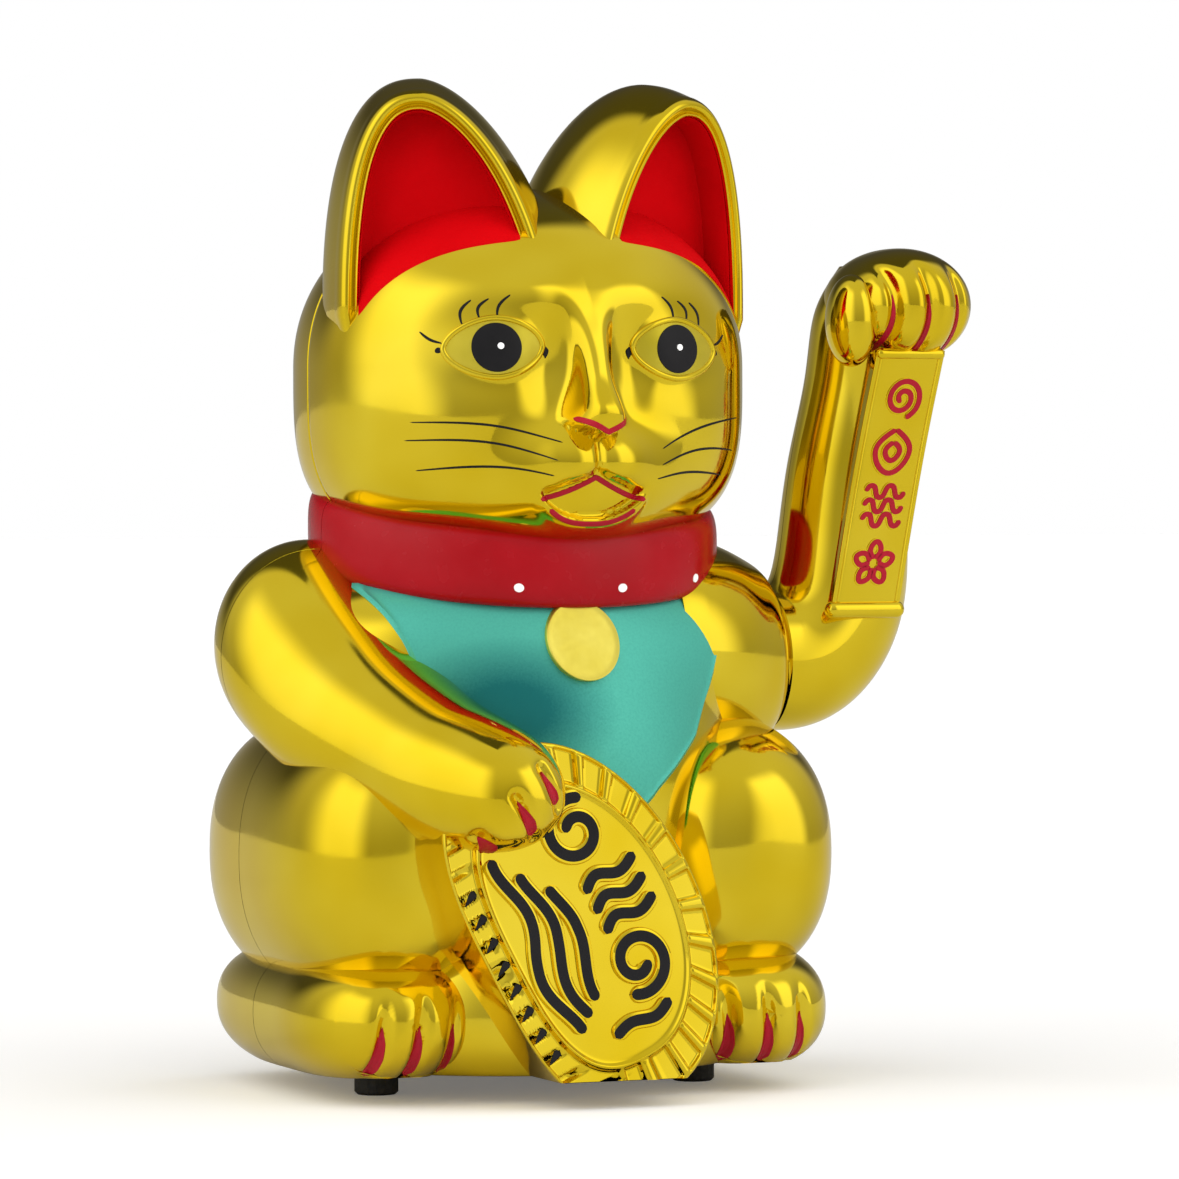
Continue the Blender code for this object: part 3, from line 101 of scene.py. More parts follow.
# Coin: an oval plate that leans over to the cat's right.
COIN_X, COIN_Z, COIN_TILT = -10.0, 54.0, math.radians(27)
COIN_RIGHT, COIN_LEFT, COIN_LONG = 36.0, 33.5, 55.0
COIN_FACE_Y, COIN_LEAN = -78.0, 0.10
CUT_SPACING = 7.4  # between the cuts in the coin's border
DOT_TURNS = tuple(math.radians(turn) for turn in (-17.5, 12.5, 43.0))


# ---------------------------------------------------------------- building blocks


def place_points(points):
    """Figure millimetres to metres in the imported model's frame."""
    return np.asarray(points, float) * MM * SCALE + ORIGIN


def grid_faces(rows, columns, wrap):
    """Quads between neighbouring rows and columns; wrap joins the last column to the first."""
    row = np.arange(rows - 1)[:, None] * columns
    column = np.arange(columns if wrap else columns - 1)[None, :]
    following = (column + 1) % columns
    quads = (row + column, row + following, row + columns + following, row + columns + column)
    return np.stack(quads, -1).reshape(-1, 4)


def piece(name, grids, material, body="figure", node=None):
    """One object from grids, each (points[rows, columns, 3], wrap), closed at its poles and seams."""
    points, faces, start = [], [], 0
    for grid, wrap in grids:
        rows, columns = grid.shape[:2]
        points.append(place_points(grid.reshape(-1, 3)))
        faces.append(grid_faces(rows, columns, wrap) + start)
        start += rows * columns
    mesh = bpy.data.meshes.new(name)
    mesh.from_pydata(np.concatenate(points), [], np.concatenate(faces))
    work = bmesh.new()
    work.from_mesh(mesh)
    bmesh.ops.remove_doubles(work, verts=work.verts, dist=MERGE_DISTANCE)
    bmesh.ops.dissolve_degenerate(work, edges=work.edges, dist=MERGE_DISTANCE / 2)
    bmesh.ops.recalc_face_normals(work, faces=work.faces)
    work.to_mesh(mesh)
    work.free()
    mesh.materials.append(material)
    mesh.shade_smooth()
    mesh.set_sharp_from_angle(angle=SHARP_ANGLE)
    obj = bpy.data.objects.new(name, mesh)
    bpy.context.scene.collection.objects.link(obj)
    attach(obj, body)
    if node:
        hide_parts(node)


def spline(knots, values):
    """A natural cubic spline through the values at the knots, as a function of an array."""
    knots, values = np.asarray(knots, float), np.asarray(values, float)
    gaps = np.diff(knots)
    count = len(knots)
    system = np.eye(count)
    right = np.zeros((count,) + values.shape[1:])
    inner = np.arange(1, count - 1)
    system[inner, inner - 1] = gaps[:-1]
    system[inner, inner] = 2 * (gaps[:-1] + gaps[1:])
    system[inner, inner + 1] = gaps[1:]
    shape = (-1,) + (1,) * (values.ndim - 1)
    slopes = np.diff(values, axis=0) / gaps.reshape(shape)
    right[1:-1] = 6 * np.diff(slopes, axis=0)
    bends = np.linalg.solve(system, right)

    def value(at):
        at = np.asarray(at, float)
        i = np.clip(np.searchsorted(knots, at) - 1, 0, count - 2)
        gap = gaps[i]
        low, high = (knots[i + 1] - at) / gap, (at - knots[i]) / gap
        tail = (1,) * (values.ndim - 1)
        low, high, gap = (v.reshape(at.shape + tail) for v in (low, high, gap))
        curve = ((low**3 - low) * bends[i] + (high**3 - high) * bends[i + 1]) * gap**2 / 6
        return low * values[i] + high * values[i + 1] + curve

    return value


def distances(points):
    """How far along a line of points each one lies."""
    return np.concatenate([[0], np.cumsum(np.linalg.norm(np.diff(points, axis=0), axis=1))])


def smooth_path(points, count):
    """Points on a cubic spline through the given ones, by their distance along it."""
    points = np.asarray(points, float)
    along = distances(points)
    return spline(along, points)(np.linspace(0, along[-1], count))


def ease(value, low, high):
    """A smooth step from 0 at low to 1 at high."""
    share = np.clip((value - low) / (high - low), 0, 1)
    return share * share * (3 - 2 * share)


def bent(value, power):
    """A sine or cosine raised to 2 / power with its sign kept, which makes a circle a squarish oval."""
    return np.sign(value) * np.abs(value) ** (2 / power)


def rounding(share, power):
    """A form's size at a share of the way to its end: (1 - share**power)**(1 / power), and nearly 0 there."""
    return np.clip(1 - np.clip(share, 0, 1) ** power, 1e-6, 1) ** (1 / power)


def bump(x, z, x_mid, z_mid, x_size, z_size, power=2.0):
    """A hill of height 1: exp(-(distance as an oval)**power)."""
    far = np.hypot((x - x_mid) / x_size, (z - z_mid) / z_size)
    return np.exp(-(far**power))


def soft_maximum(reaches, power):
    """The power mean's sum form: near the greatest reach, and rounded where two are alike."""
    return sum(reach**power for reach in reaches) ** (1 / power)


def ellipsoid_reach(direction, start, centre, radii):
    """How far a ray from the start goes to the far side of an ellipsoid, or 0 where it misses."""
    way = direction / radii
    off = (np.asarray(start, float) - centre) / radii
    a = (way**2).sum(-1)
    b = (way * off).sum(-1)
    c = (off**2).sum() - 1
    root = b * b - a * c
    return np.where(root > 0, (-b + np.sqrt(np.maximum(root, 0))) / a, 0).clip(0)


def seam_headings(count, front):
    """Headings round half of the figure, from seam to seam, with close ones next to the seam's edge."""
    edge = np.array((SEAM, 0.45, 1.1)) / 66.0
    half = np.concatenate([edge, np.linspace(0.035, math.pi - 0.035, count), math.pi - edge[::-1]])
    return -half[::-1] if front else half


def half_solid(grid, front):
    """Closes a half form, whose first and last columns lie at the seam, with a flat wall along the seam."""
    side = -SEAM if front else SEAM
    grid = grid.copy()
    for column, inner in ((0, 1), (-1, -2)):
        grid[:, column, 1] = side
        middle = grid[:, (0, -1)].mean(axis=1)
        grid[:, column, 0] += 0.004 * (middle[:, 0] - grid[:, column, 0])
    wall = grid[:, (0, -1)].mean(axis=1)
    wall[:, 1] = side
    return np.concatenate([wall[:, None], grid, wall[:, None]], axis=1)


def capped(grid):
    """Closes a grid of rings with a flat cap at each end."""
    first = np.broadcast_to(grid[:1].mean(axis=1, keepdims=True), grid[:1].shape)
    last = np.broadcast_to(grid[-1:].mean(axis=1, keepdims=True), grid[-1:].shape)
    return np.concatenate([first, grid, last], axis=0)


def across_y(y, middle, half, around, floor=None, power=2.0):
    """Rings at constant y: an oval of the given half sizes round its middle (x, z), cut flat at the floor."""
    middle = np.broadcast_to(middle, (len(y), 2))
    low = np.full(len(y), -math.pi / 2)
    if floor is not None:
        low = np.arcsin(np.clip((floor - middle[:, 1]) / half[:, 1], -1, 1))
    share = np.linspace(0, 1, around)[None, :]
    angle = low[:, None] + share * (math.pi - 2 * low[:, None])
    x = middle[:, :1] + half[:, :1] * bent(np.cos(angle), power)
    z = middle[:, 1:] + half[:, 1:] * bent(np.sin(angle), power)
    return np.stack([x, np.broadcast_to(y[:, None], x.shape), z], -1)


def split_levels(y_front, y_back, count):
    """Places along y ahead of the seam and behind it, closer at both ends and next to the seam."""
    turn = np.linspace(0, math.pi, count)
    y = (y_front + y_back) / 2 - (y_back - y_front) / 2 * np.cos(turn)
    y[0], y[-1] = y_front, y_back
    edges = np.array((SEAM, 0.5, 1.2))
    return [np.concatenate([y[y < -1.8], -edges[::-1]]), np.concatenate([edges, y[y > 1.8]])]


def depth_surface(depth):
    """Makes a surface from y = depth(x, z) that faces forward: at(x, z, lift) lies lift in front of it."""

    def at(x, z, lift):
        step = 0.05
        y = depth(x, z)
        slope_x = (depth(x + step, z) - depth(x - step, z)) / (2 * step)
        slope_z = (depth(x, z + step) - depth(x, z - step)) / (2 * step)
        normal = np.stack([slope_x, -np.ones_like(y), slope_z], -1)
        normal /= np.linalg.norm(normal, axis=-1, keepdims=True)
        return np.stack([x, y, z], -1) + normal * np.asarray(lift)[..., None]

    return at


FRONT_LIMIT = -90.0  # every form but the arms and the coin lies behind this y


def solve_depth(inside, x, z, y_front, y_back=0.0):
    """The y where inside(x, y, z) = 1 on the front of a form, by halving the span between two guesses."""
    x, z = np.asarray(x, float), np.asarray(z, float)
    near, far = np.full(np.shape(x), float(y_front)), np.full(np.shape(x), float(y_back))
    for _ in range(26):
        middle = (near + far) / 2
        outside = inside(x, middle, z) > 1
        near, far = np.where(outside, middle, near), np.where(outside, far, middle)
    return (near + far) / 2


RIBBON_ACROSS = np.array((-1, -1, -0.86, -0.5, 0, 0.5, 0.86, 1, 1))


def ribbon(surface, path, half_width, lift, sink=0.5):
    """A raised stroke: a strip along a path on the surface, its width shrinking to rounded ends."""
    path = np.asarray(path, float)
    count = len(path)
    way = np.gradient(path, axis=0)
    way /= np.linalg.norm(way, axis=1)[:, None]
    side = np.stack([-way[:, 1], way[:, 0]], 1)
    width = np.broadcast_to(np.asarray(half_width, float), (count,))
    along = distances(path)
    from_end = np.minimum(along, along[-1] - along) / width.max()
    width = width * np.sqrt(np.clip(1 - (1 - np.clip(from_end, 0, 1)) ** 2, 4e-4, 1))
    spread = path[:, None, :] + side[:, None, :] * (width[:, None] * RIBBON_ACROSS)[..., None]
    height = np.array((-sink, lift * 0.55, lift, lift, lift, lift, lift, lift * 0.55, -sink))
    height = np.broadcast_to(height, spread.shape[:2])
    return capped(surface(spread[..., 0], spread[..., 1], height)), True


def oval(centre, radii, power=2.0, turn=0.0, around=64):
    """An oval outline: a circle bent by its power, stretched and turned."""
    angle = np.arange(around) * 2 * math.pi / around
    x, z = radii[0] * bent(np.cos(angle), power), radii[1] * bent(np.sin(angle), power)
    turned = (x * math.cos(turn) - z * math.sin(turn), x * math.sin(turn) + z * math.cos(turn))
    return np.stack([centre[0] + turned[0], centre[1] + turned[1]], 1)


def patch(surface, outline, lift, sink=0.5, bead=0.0, bead_at=0.95, rings=14):
    """A raised area: growing copies of its outline from its middle out, with a rounded edge that sinks in."""
    outline = np.asarray(outline, float)
    share = np.concatenate([[1e-3], np.linspace(0, 0.94, rings)[1:], [0.955, 0.97, 0.985, 1.0, 1.0]])
    height = np.full(len(share), float(lift))
    height += bead * np.exp(-(((share - bead_at) / 0.022) ** 2))
    height[-3:] = (lift * 0.75, lift * 0.35, -sink)
    middle = outline.mean(axis=0)
    spread = middle + share[:, None, None] * (outline - middle)
    height = np.broadcast_to(height[:, None], spread.shape[:2])
    top = surface(spread[..., 0], spread[..., 1], height)
    return capped(top), True


def ring_bead(surface, outline, radius, lift=0.0):
    """A round bead along a closed outline on a surface."""
    return tube(surface(outline[:, 0], outline[:, 1], np.full(len(outline), lift)), radius, closed=True)


def tube(path, radius, around=12, closed=False):
    """A round bead along a path in space."""
    path = np.asarray(path, float)
    if closed:
        way = np.roll(path, -1, axis=0) - np.roll(path, 1, axis=0)
    else:
        way = np.gradient(path, axis=0)
    way /= np.linalg.norm(way, axis=1)[:, None]
    side = np.cross(way, (0.0, 1.0, 0.0))
    side /= np.linalg.norm(side, axis=1)[:, None]
    other = np.cross(way, side)
    angle = np.arange(around) * 2 * math.pi / around
    size = np.broadcast_to(np.asarray(radius, float), (len(path),))[:, None, None]
    ring = side[:, None] * np.cos(angle)[None, :, None] + other[:, None] * np.sin(angle)[None, :, None]
    grid = path[:, None] + size * ring
    if closed:
        return np.concatenate([grid, grid[:1]], axis=0), True
    return capped(grid), True


# ---------------------------------------------------------------- head


def head_reach(direction):
    """The head's radius from its centre: a squarish oval, fuller below, blended with the muzzle's oval."""
    deep = np.where(direction[..., 1] < 0, HEAD_FRONT, HEAD_BACK)
    level = np.abs(direction[..., 0] / HEAD_WIDE) ** 2.4 + np.abs(direction[..., 1] / deep) ** 2.4
    height = np.abs(direction[..., 2] / HEAD_TALL)
    power = np.where(direction[..., 2] > 0, 2.15, 3.5)
    oval = (level ** (power / 2.4) + height**power) ** (-1 / power)
    muzzle = ellipsoid_reach(direction, (0, 0, HEAD_Z), np.array(MUZZLE_CENTRE), np.array(MUZZLE_RADII))
    return soft_maximum((oval, muzzle), 20)


NOSE_HEIGHT = ((185, 196, 200, 204, 210, 217, 224, 232, 245), (9, 10.5, 14.5, 13.5, 9.5, 6.5, 4.0, 1.2, 0))
NOSE_HALF = ((185, 197, 203, 210, 218, 226, 236, 245), (8.6, 8.4, 7.2, 5.4, 5.0, 6.0, 9.0, 12))


def nose_relief(x, z):
    """The nose: a flat-topped ridge, height * exp(-(side / half)**4), cut off below along a V."""
    side = np.abs(x)
    height, half = spline(*NOSE_HEIGHT)(z), spline(*NOSE_HALF)(z)
    ridge = height * np.exp(-((side / half) ** 4))
    lower_edge = 193.0 + 4.2 * np.minimum(side, 9) / 8.3
    return ridge * ease(z, lower_edge - 0.7, lower_edge + 0.7) * (1 - ease(z, 236, 246))


def upper_lip(x):
    """The height of the upper lip's line: a bow that peaks under the nose."""
    return 175.0 + 6.4 * np.maximum(0, 1 - np.abs(x) / 17.0) ** 1.5


def lower_lip(x):
    """The height of the lower lip's line: a shallow bowl."""
    return 168.6 + 5.6 * (np.abs(x) / 15.0) ** 2.6


def mouth_relief(x, z):
    """Two round muzzle pads over a ledge, the groove between them, the smile and the lower lip's ridge."""
    side = np.abs(x)
    within = 1 - ease(side, 14.5, 18.5)
    pads = 2.6 * bump(side, z, 8.5, 188, 8.5, 8.0, 2.4) * ease(z, 179, 183)
    groove = -1.3 * np.exp(-((x / 1.3) ** 2)) * ease(z, 181, 184) * (1 - ease(z, 191, 194))
    above, below = z - lower_lip(x), z - upper_lip(x)
    opening = ease(above, 0.2, 2.6) * (1 - ease(below, 1.2, 4.6))
    lip = 1.3 * np.exp(-(((above + 1.5) / 2.2) ** 2)) * within
    return pads + groove - 2.8 * opening * within + lip


# Hills and hollows on each side of the face: height, then middle, half sizes and power of its oval.
FACE_HILLS = (
    (2.6, 17, 236, 17, 7.5, 2.0),  # brow
    (-2.6, 13.0, 214, 6.5, 14, 2.0),  # hollow beside the nose
    (-1.2, EYE_X, EYE_Z, 19, 12, 4),  # eye socket
    (2.2, EYE_X, EYE_Z, 14, 9.5, 3),  # eyeball
    (1.6, 40, 197, 16, 13, 2.0),  # cheek
)


def face_relief(x, z):
    """How far the face stands out from the plain head: the sum of its hills, the nose and the mouth."""
    hills = sum(height * bump(np.abs(x), z, *oval_sizes) for height, *oval_sizes in FACE_HILLS)
    return hills + nose_relief(x, z) + mouth_relief(x, z)


FACE_FADE = (12, 34)  # how far ahead of the seam the face's relief starts and is whole


def head_form(direction):
    """Points on the head in the given directions from its centre: its reach, less the face's relief in y."""
    base = direction * head_reach(direction)[..., None] + (0, 0, HEAD_Z)
    front = ease(-base[..., 1], *FACE_FADE)
    base[..., 1] -= face_relief(base[..., 0], base[..., 2]) * front
    return base


def head_share(x, y, z):
    """How far a place is from the head's centre, as a share of the plain head's reach that way."""
    off = np.stack([x, y, z - HEAD_Z], -1)
    far = np.maximum(np.linalg.norm(off, axis=-1), 1e-6)
    return far / head_reach(off / far[..., None])


def head_depth(x, z):
    """The y of the head's front at (x, z)."""
    y = solve_depth(head_share, x, z, FRONT_LIMIT)
    return y - face_relief(x, z) * ease(-y, *FACE_FADE)


def head_half(front):
    """Half of the head: its form over headings from seam to seam and angles from the top down."""
    headings = seam_headings(250 if front else 110, front)
    if front:
        share = (headings + math.pi / 2) / (math.pi / 2)
        headings = -math.pi / 2 + math.pi / 2 * (0.72 * share + 0.28 * share**3)
    rows = 230 if front else 100
    polar = np.linspace(1e-4, math.radians(158), rows)
    direction = np.stack([
        np.sin(polar)[:, None] * np.cos(headings), np.sin(polar)[:, None] * np.sin(headings),
        np.broadcast_to(np.cos(polar)[:, None], (rows, len(headings))),
    ], -1)
    grid = head_form(direction)
    floor = grid[-1:].copy()
    floor[..., :2] *= 0.05
    return half_solid(np.concatenate([grid, floor], axis=0), front)


# ---------------------------------------------------------------- ears


EAR_MIDDLE = 28.6  # along the ear's front from its inner corner
EAR_BASE, EAR_ARCH = 229.0, 60.0
EAR_OUTER, EAR_INNER = 18.3, 33.0
EAR_CORNER = (16.3, -41.0)  # where the ear's front starts, and how far it turns outwards
EAR_TURN = math.radians(20.6)


def ear_point(side, along, height, depth):
    """A point of an ear from its own sizes: along its front from the inner corner, up, and back."""
    x = EAR_CORNER[0] + along * math.cos(EAR_TURN) - depth * math.sin(EAR_TURN)
    y = EAR_CORNER[1] + along * math.sin(EAR_TURN) + depth * math.cos(EAR_TURN)
    return np.stack([side * x, y, height], -1)


def ear_arch(grow, turn):
    """The ear's outline, grown outwards: half of a square arch outside and half of a slanting one inside."""
    outer = np.cos(turn) > 0
    power = np.where(outer, 2.5, 1.65)
    half = np.where(outer, EAR_OUTER, EAR_INNER) + grow
    height = (EAR_ARCH + grow) * bent(np.sin(turn), power)
    return EAR_MIDDLE + half * bent(np.cos(turn), power), EAR_BASE + height


def ear_surface(side, profile, turn):
    """Rings of the ear's outline through a profile of (growth, depth, share of full size)."""
    grow, depth, share = (np.asarray(v, float)[:, None] for v in zip(*profile))
    along, height = ear_arch(grow, turn[None, :])
    along = EAR_MIDDLE + (along - EAR_MIDDLE) * share
    height = EAR_BASE + (height - EAR_BASE) * share
    return ear_point(side, along, height, np.broadcast_to(depth, along.shape))


# Growth and depth from the recess over the bead and the groove to the rounded rim.
EAR_RIM = (
    (0.0, 13.0), (0.0, 0.7), (0.2, 0.15), (0.5, 0.0), (0.8, 0.2), (1.1, 0.9), (1.4, 1.6), (1.7, 1.8),
    (2.0, 1.4), (2.3, 0.7), (2.7, 0.2), (3.3, 0.0), (4.1, 0.2), (4.9, 0.9), (5.6, 2.0), (6.2, 3.4),
    (6.6, 5.0),
)
FLANK_GROWTH, FLANK_DEPTH, BACK_DEPTH = 3.9, 17.0, 44.0


def ear_profile():
    """The rim, then the flank on a quarter of a sine, then the back, which shrinks as a cosine to a point."""
    rim = [(grow, depth, 1) for grow, depth in EAR_RIM]
    grow, depth = EAR_RIM[-1]
    steps = np.linspace(0, 1, 14)[1:]
    flank = [(grow + FLANK_GROWTH * math.sin(math.pi / 2 * t), depth + FLANK_DEPTH * t, 1) for t in steps]
    grow, depth, _ = flank[-1]
    turns = np.linspace(0, math.pi / 2, 30)[1:]
    back = [(grow, depth + BACK_DEPTH * math.sin(t), math.cos(t)) for t in turns]
    back[-1] = (grow, depth + BACK_DEPTH, 0.001)
    return rim + flank + back


def ear_solid(side):
    """The ear's rings through its profile, each closed below along a line drawn in under the head."""
    turn = np.linspace(0, math.pi, 121)
    grid = ear_surface(side, ear_profile(), turn)
    floor = grid[:1].copy()
    floor[0] = floor[0].mean(axis=0)
    rings = np.concatenate([floor, grid], axis=0)
    bottom = rings[:, ::-1].copy()
    bottom[..., :2] *= 0.90
    bottom[..., 2] = EAR_BASE - 24.0
    bottom = bottom[:, 1:-1]
    return np.concatenate([rings, bottom], axis=1)


def ear_lining(side):
    """The red cup inside the ear: from the middle of its face out, forward along the rim, and back behind."""
    turn = np.linspace(0, math.pi, 97)
    face = [(-0.5, 12.2, share) for share in (0.01, 0.3, 0.6, 0.85, 0.95)]
    rim = [(-0.5, 11.8, 1), (-0.5, 1.8, 1), (-0.25, 1.5, 1), (0.02, 1.8, 1), (0.02, 12.9, 1)]
    back = [(0.02, 12.9, share) for share in (0.9, 0.5, 0.01)]
    return capped(ear_surface(side, face + rim + back, turn)), True


def head_top(x, y):
    """The height of the head's top at (x, y)."""
    return solve_depth(lambda x, z, y: head_share(x, y, z), x, y, HEAD_Z + 61.0, HEAD_Z)


def ear_floor(side):
    """The red paint on the head below the recess, reaching ahead of the ear's rim in a shallow curve."""
    share = np.linspace(0, 1, 40)[:, None]
    step = np.concatenate([[0, 0], np.linspace(0, 1, 14), [1, 1]])[None, :]
    along = -0.5 + 47.3 * share
    front = -1.0 - 3.6 * np.sin(math.pi * share) ** 0.7
    depth = front + (12.6 - front) * step
    flat = ear_point(side, along + 0 * depth, 0 * depth, depth)
    lift = np.full(step.shape[1], 0.3)
    lift[[0, -1]] = -0.8
    z = head_top(flat[..., 0], flat[..., 1]) + lift
    top = np.stack([flat[..., 0], flat[..., 1], z], -1)
    under = top - (0, 0, 1.0)
    loop = np.concatenate([top, under[:, ::-1]], axis=1)
    return capped(loop), True


# ---------------------------------------------------------------- trunk and legs


def trunk_radius(heading, z):
    """The trunk's radius round the upright axis, as a soft maximum of its lobes."""
    direction = np.stack([np.cos(heading), np.sin(heading), np.zeros_like(heading)], -1)
    reaches = []
    for centre, radii in TRUNK_LOBES:
        way = direction[..., :2] / radii[:2]
        across, deep = -centre[0] / radii[0] + 0 * z, -centre[1] / radii[1] + 0 * z
        off = np.stack([across, deep, (z - centre[2]) / radii[2]], -1)
        a = (way**2).sum(-1)
        b = (way * off[..., :2]).sum(-1)
        c = (off**2).sum(-1) - 1
        root = b * b - a * c
        reaches.append(np.where(root > 0, (-b + np.sqrt(np.maximum(root, 0))) / a, 0).clip(0))
    return soft_maximum(reaches, 18)


def trunk_half(front):
    """Half of the trunk: its radius over headings and heights, drawn in a little at its lower edge."""
    headings = seam_headings(170, front)
    edge = SHELL_BOTTOM + np.array((0, 0.15, 0.6, 1.3))
    z = np.concatenate([edge, np.linspace(SHELL_BOTTOM + 2.2, TRUNK_TOP, 130)])
    heading, height = np.meshgrid(headings, z)
    radius = trunk_radius(heading, height)
    radius[:3] -= np.array((1.0, 0.45, 0.12))[:, None]
    grid = np.stack([radius * np.cos(heading), radius * np.sin(heading), height], -1)
    floor, top = grid[:1] * (0.02, 0.02, 1), grid[-1:] * (0.02, 0.02, 1)
    return half_solid(np.concatenate([floor, grid, top], axis=0), front)


def trunk_depth(x, z):
    """The y of the trunk's front at (x, z)."""

    def inside(x, y, z):
        return np.hypot(x, y) / np.maximum(trunk_radius(np.arctan2(y, x), z), 1e-6)

    return solve_depth(inside, x, z, FRONT_LIMIT)


INNER_WALL = 46.5  # the hidden inner sides of thighs and feet stay this far from the middle


def clear_inside(grid, side):
    """Moves what would reach in past the inner wall out to it, behind the front of the belly."""
    wall = INNER_WALL * ease(grid[..., 1], -50, -38)
    grid[..., 0] = side * np.maximum(side * grid[..., 0], wall)
    return grid


THIGH_X, THIGH_Z, THIGH_HALF = 54.5, 70.0, (34.0, 42.0)
THIGH_FRONT, THIGH_BACK = -63, 58


def haunches():
    """The thighs: upright squarish ovals at each side, their size rounding off towards both ends along y."""
    parts = []
    for side, _ in SIDES:
        for y in split_levels(THIGH_FRONT, THIGH_BACK, 96):
            size = rounding(y / np.where(y < 0, THIGH_FRONT, THIGH_BACK), 2.8)[:, None]
            grid = across_y(y, (side * THIGH_X, THIGH_Z), THIGH_HALF * size, 110, power=2.3)[:, :-1]
            parts.append(capped(clear_inside(grid, side)))
    return parts


TOE_GAPS = (45.0, 56.5, 67.5)


def toe_line(gap, side, z):
    """The x of a gap between two toes, which leans in as it rises."""
    return side * (gap - 0.10 * (z - 8))


def toe_grooves(x, z, side):
    """The depth of the grooves between the toes at (x, z): bell-shaped valleys that fade out upwards."""
    depth = sum(np.exp(-(((x - toe_line(gap, side, z)) / 1.9) ** 2)) for gap in TOE_GAPS)
    return depth * (1 - ease(z, 22, 36))


FOOT_X, FOOT_Z, FOOT_HALF = 56.8, 24.0, (27.4, 20.5)
FOOT_FRONT, FOOT_WIDEST, FOOT_BACK = -63.0, -18.5, 60.0
FOOT_SQUARE, FOOT_BLUNT, TOE_DEPTH = 2.3, 2.5, 3.0
TOE_FADE = (36, 56)  # how far ahead of the seam the toe grooves start and are whole


def foot_size(y):
    """A foot's share of its full section at y: blunt in front, tapering gently to the hip."""
    front = rounding((FOOT_WIDEST - y) / (FOOT_WIDEST - FOOT_FRONT), FOOT_BLUNT)
    back = rounding((y - FOOT_WIDEST) / (FOOT_BACK - FOOT_WIDEST), 3.5)
    return np.where(y < FOOT_WIDEST, front, back)


def feet():
    """The hind feet: low squarish ovals with a flat sole and grooves between the toes."""
    parts = []
    for side, _ in SIDES:
        for y in split_levels(FOOT_FRONT, FOOT_BACK, 110):
            half = FOOT_HALF * foot_size(y)[:, None]
            grid = across_y(y, (side * FOOT_X, FOOT_Z), half, 150, SHELL_BOTTOM + 0.3, FOOT_SQUARE)
            front = ease(-grid[..., 1], *TOE_FADE)
            grid[..., 1] += TOE_DEPTH * toe_grooves(grid[..., 0], grid[..., 2], side) * front
            parts.append(capped(clear_inside(grid, side)))
    return parts


def foot_depth(side):
    """The y of a foot's front at (x, z), its toe grooves included."""

    def depth(x, z):
        across = np.abs((x - side * FOOT_X) / FOOT_HALF[0]) ** FOOT_SQUARE
        across = across + np.abs((z - FOOT_Z) / FOOT_HALF[1]) ** FOOT_SQUARE
        size = np.clip(across, 0, 0.999) ** (1 / FOOT_SQUARE)
        y = FOOT_WIDEST - (FOOT_WIDEST - FOOT_FRONT) * (1 - size**FOOT_BLUNT) ** (1 / FOOT_BLUNT)
        return y + TOE_DEPTH * toe_grooves(x, z, side) * ease(-y, *TOE_FADE)

    return depth


ARM_Y = (-94, -80, -66, -50, -34, -18, 0, 16, 37)
ARM_MIDDLE = (
    (-35, 90), (-37, 92), (-43, 95.5), (-50, 101.5), (-56, 109), (-61, 118), (-63.5, 129), (-62, 133),
    (-60, 135),
)
ARM_HALF = (
    (20, 18.5), (20.5, 19), (22, 20), (23, 21.5), (25.5, 24), (28.5, 28.5), (30.5, 31.5), (30.5, 32),
    (29, 31),
)


def arm_section(y):
    """The lowered arm's middle and half sizes at y, rounded off at both ends."""
    middle, half = spline(ARM_Y, ARM_MIDDLE)(y), spline(ARM_Y, ARM_HALF)(y)
    front = rounding((ARM_Y[2] - y) / (ARM_Y[2] - ARM_Y[0]), 2.3)
    back = rounding(y / ARM_Y[-1], 2.2)
    return middle, half * (front * back)[:, None]


def lowered_arm():
    """Shoulder, forearm and paw of the lowered arm: ovals at constant y, with grooves between the fingers."""
    parts = []
    for y in split_levels(ARM_Y[0], ARM_Y[-1], 150):
        grid = across_y(y, *arm_section(y), 121)[:, :-1]
        fingers = finger_grooves(grid[..., 0], grid[..., 2])
        grid[..., 1] += FINGER_DEPTH * fingers * ease(-grid[..., 1], *FINGER_FADE)
        parts.append(capped(grid))
    return parts


FINGER_DEPTH = 2.6
FINGER_FADE = (70, 84)  # how far ahead of the seam the finger grooves start and are whole
FINGER_SLITS = (((-29, 98), (-24.5, 88.5)), ((-37.5, 90), (-31.5, 80)), ((-46, 79.5), (-39.5, 73.5)))


def finger_grooves(x, z):
    """Bell-shaped valleys by the distance from the slits between the lowered paw's fingers."""
    depth = 0
    for start, end in FINGER_SLITS:
        start, end = np.array(start), np.array(end)
        way = end - start
        share = np.clip(((x - start[0]) * way[0] + (z - start[1]) * way[1]) / (way @ way), -0.1, 1.1)
        far = np.hypot(x - start[0] - share * way[0], z - start[1] - share * way[1])
        depth = depth + np.exp(-((far / 1.7) ** 2))
    return np.clip(depth, 0, 1)


def paw_depth(x, z):
    """The y of the lowered paw's front at (x, z)."""

    def inside(x, y, z):
        middle, half = arm_section(y.ravel())
        middle, half = middle.reshape(y.shape + (2,)), half.reshape(y.shape + (2,))
        return np.hypot((x - middle[..., 0]) / half[..., 0], (z - middle[..., 1]) / half[..., 1])

    y = solve_depth(inside, x, z, ARM_Y[0] + 0.1, -60)
    return y + FINGER_DEPTH * finger_grooves(x, z) * ease(-y, *FINGER_FADE)


# ---------------------------------------------------------------- coin


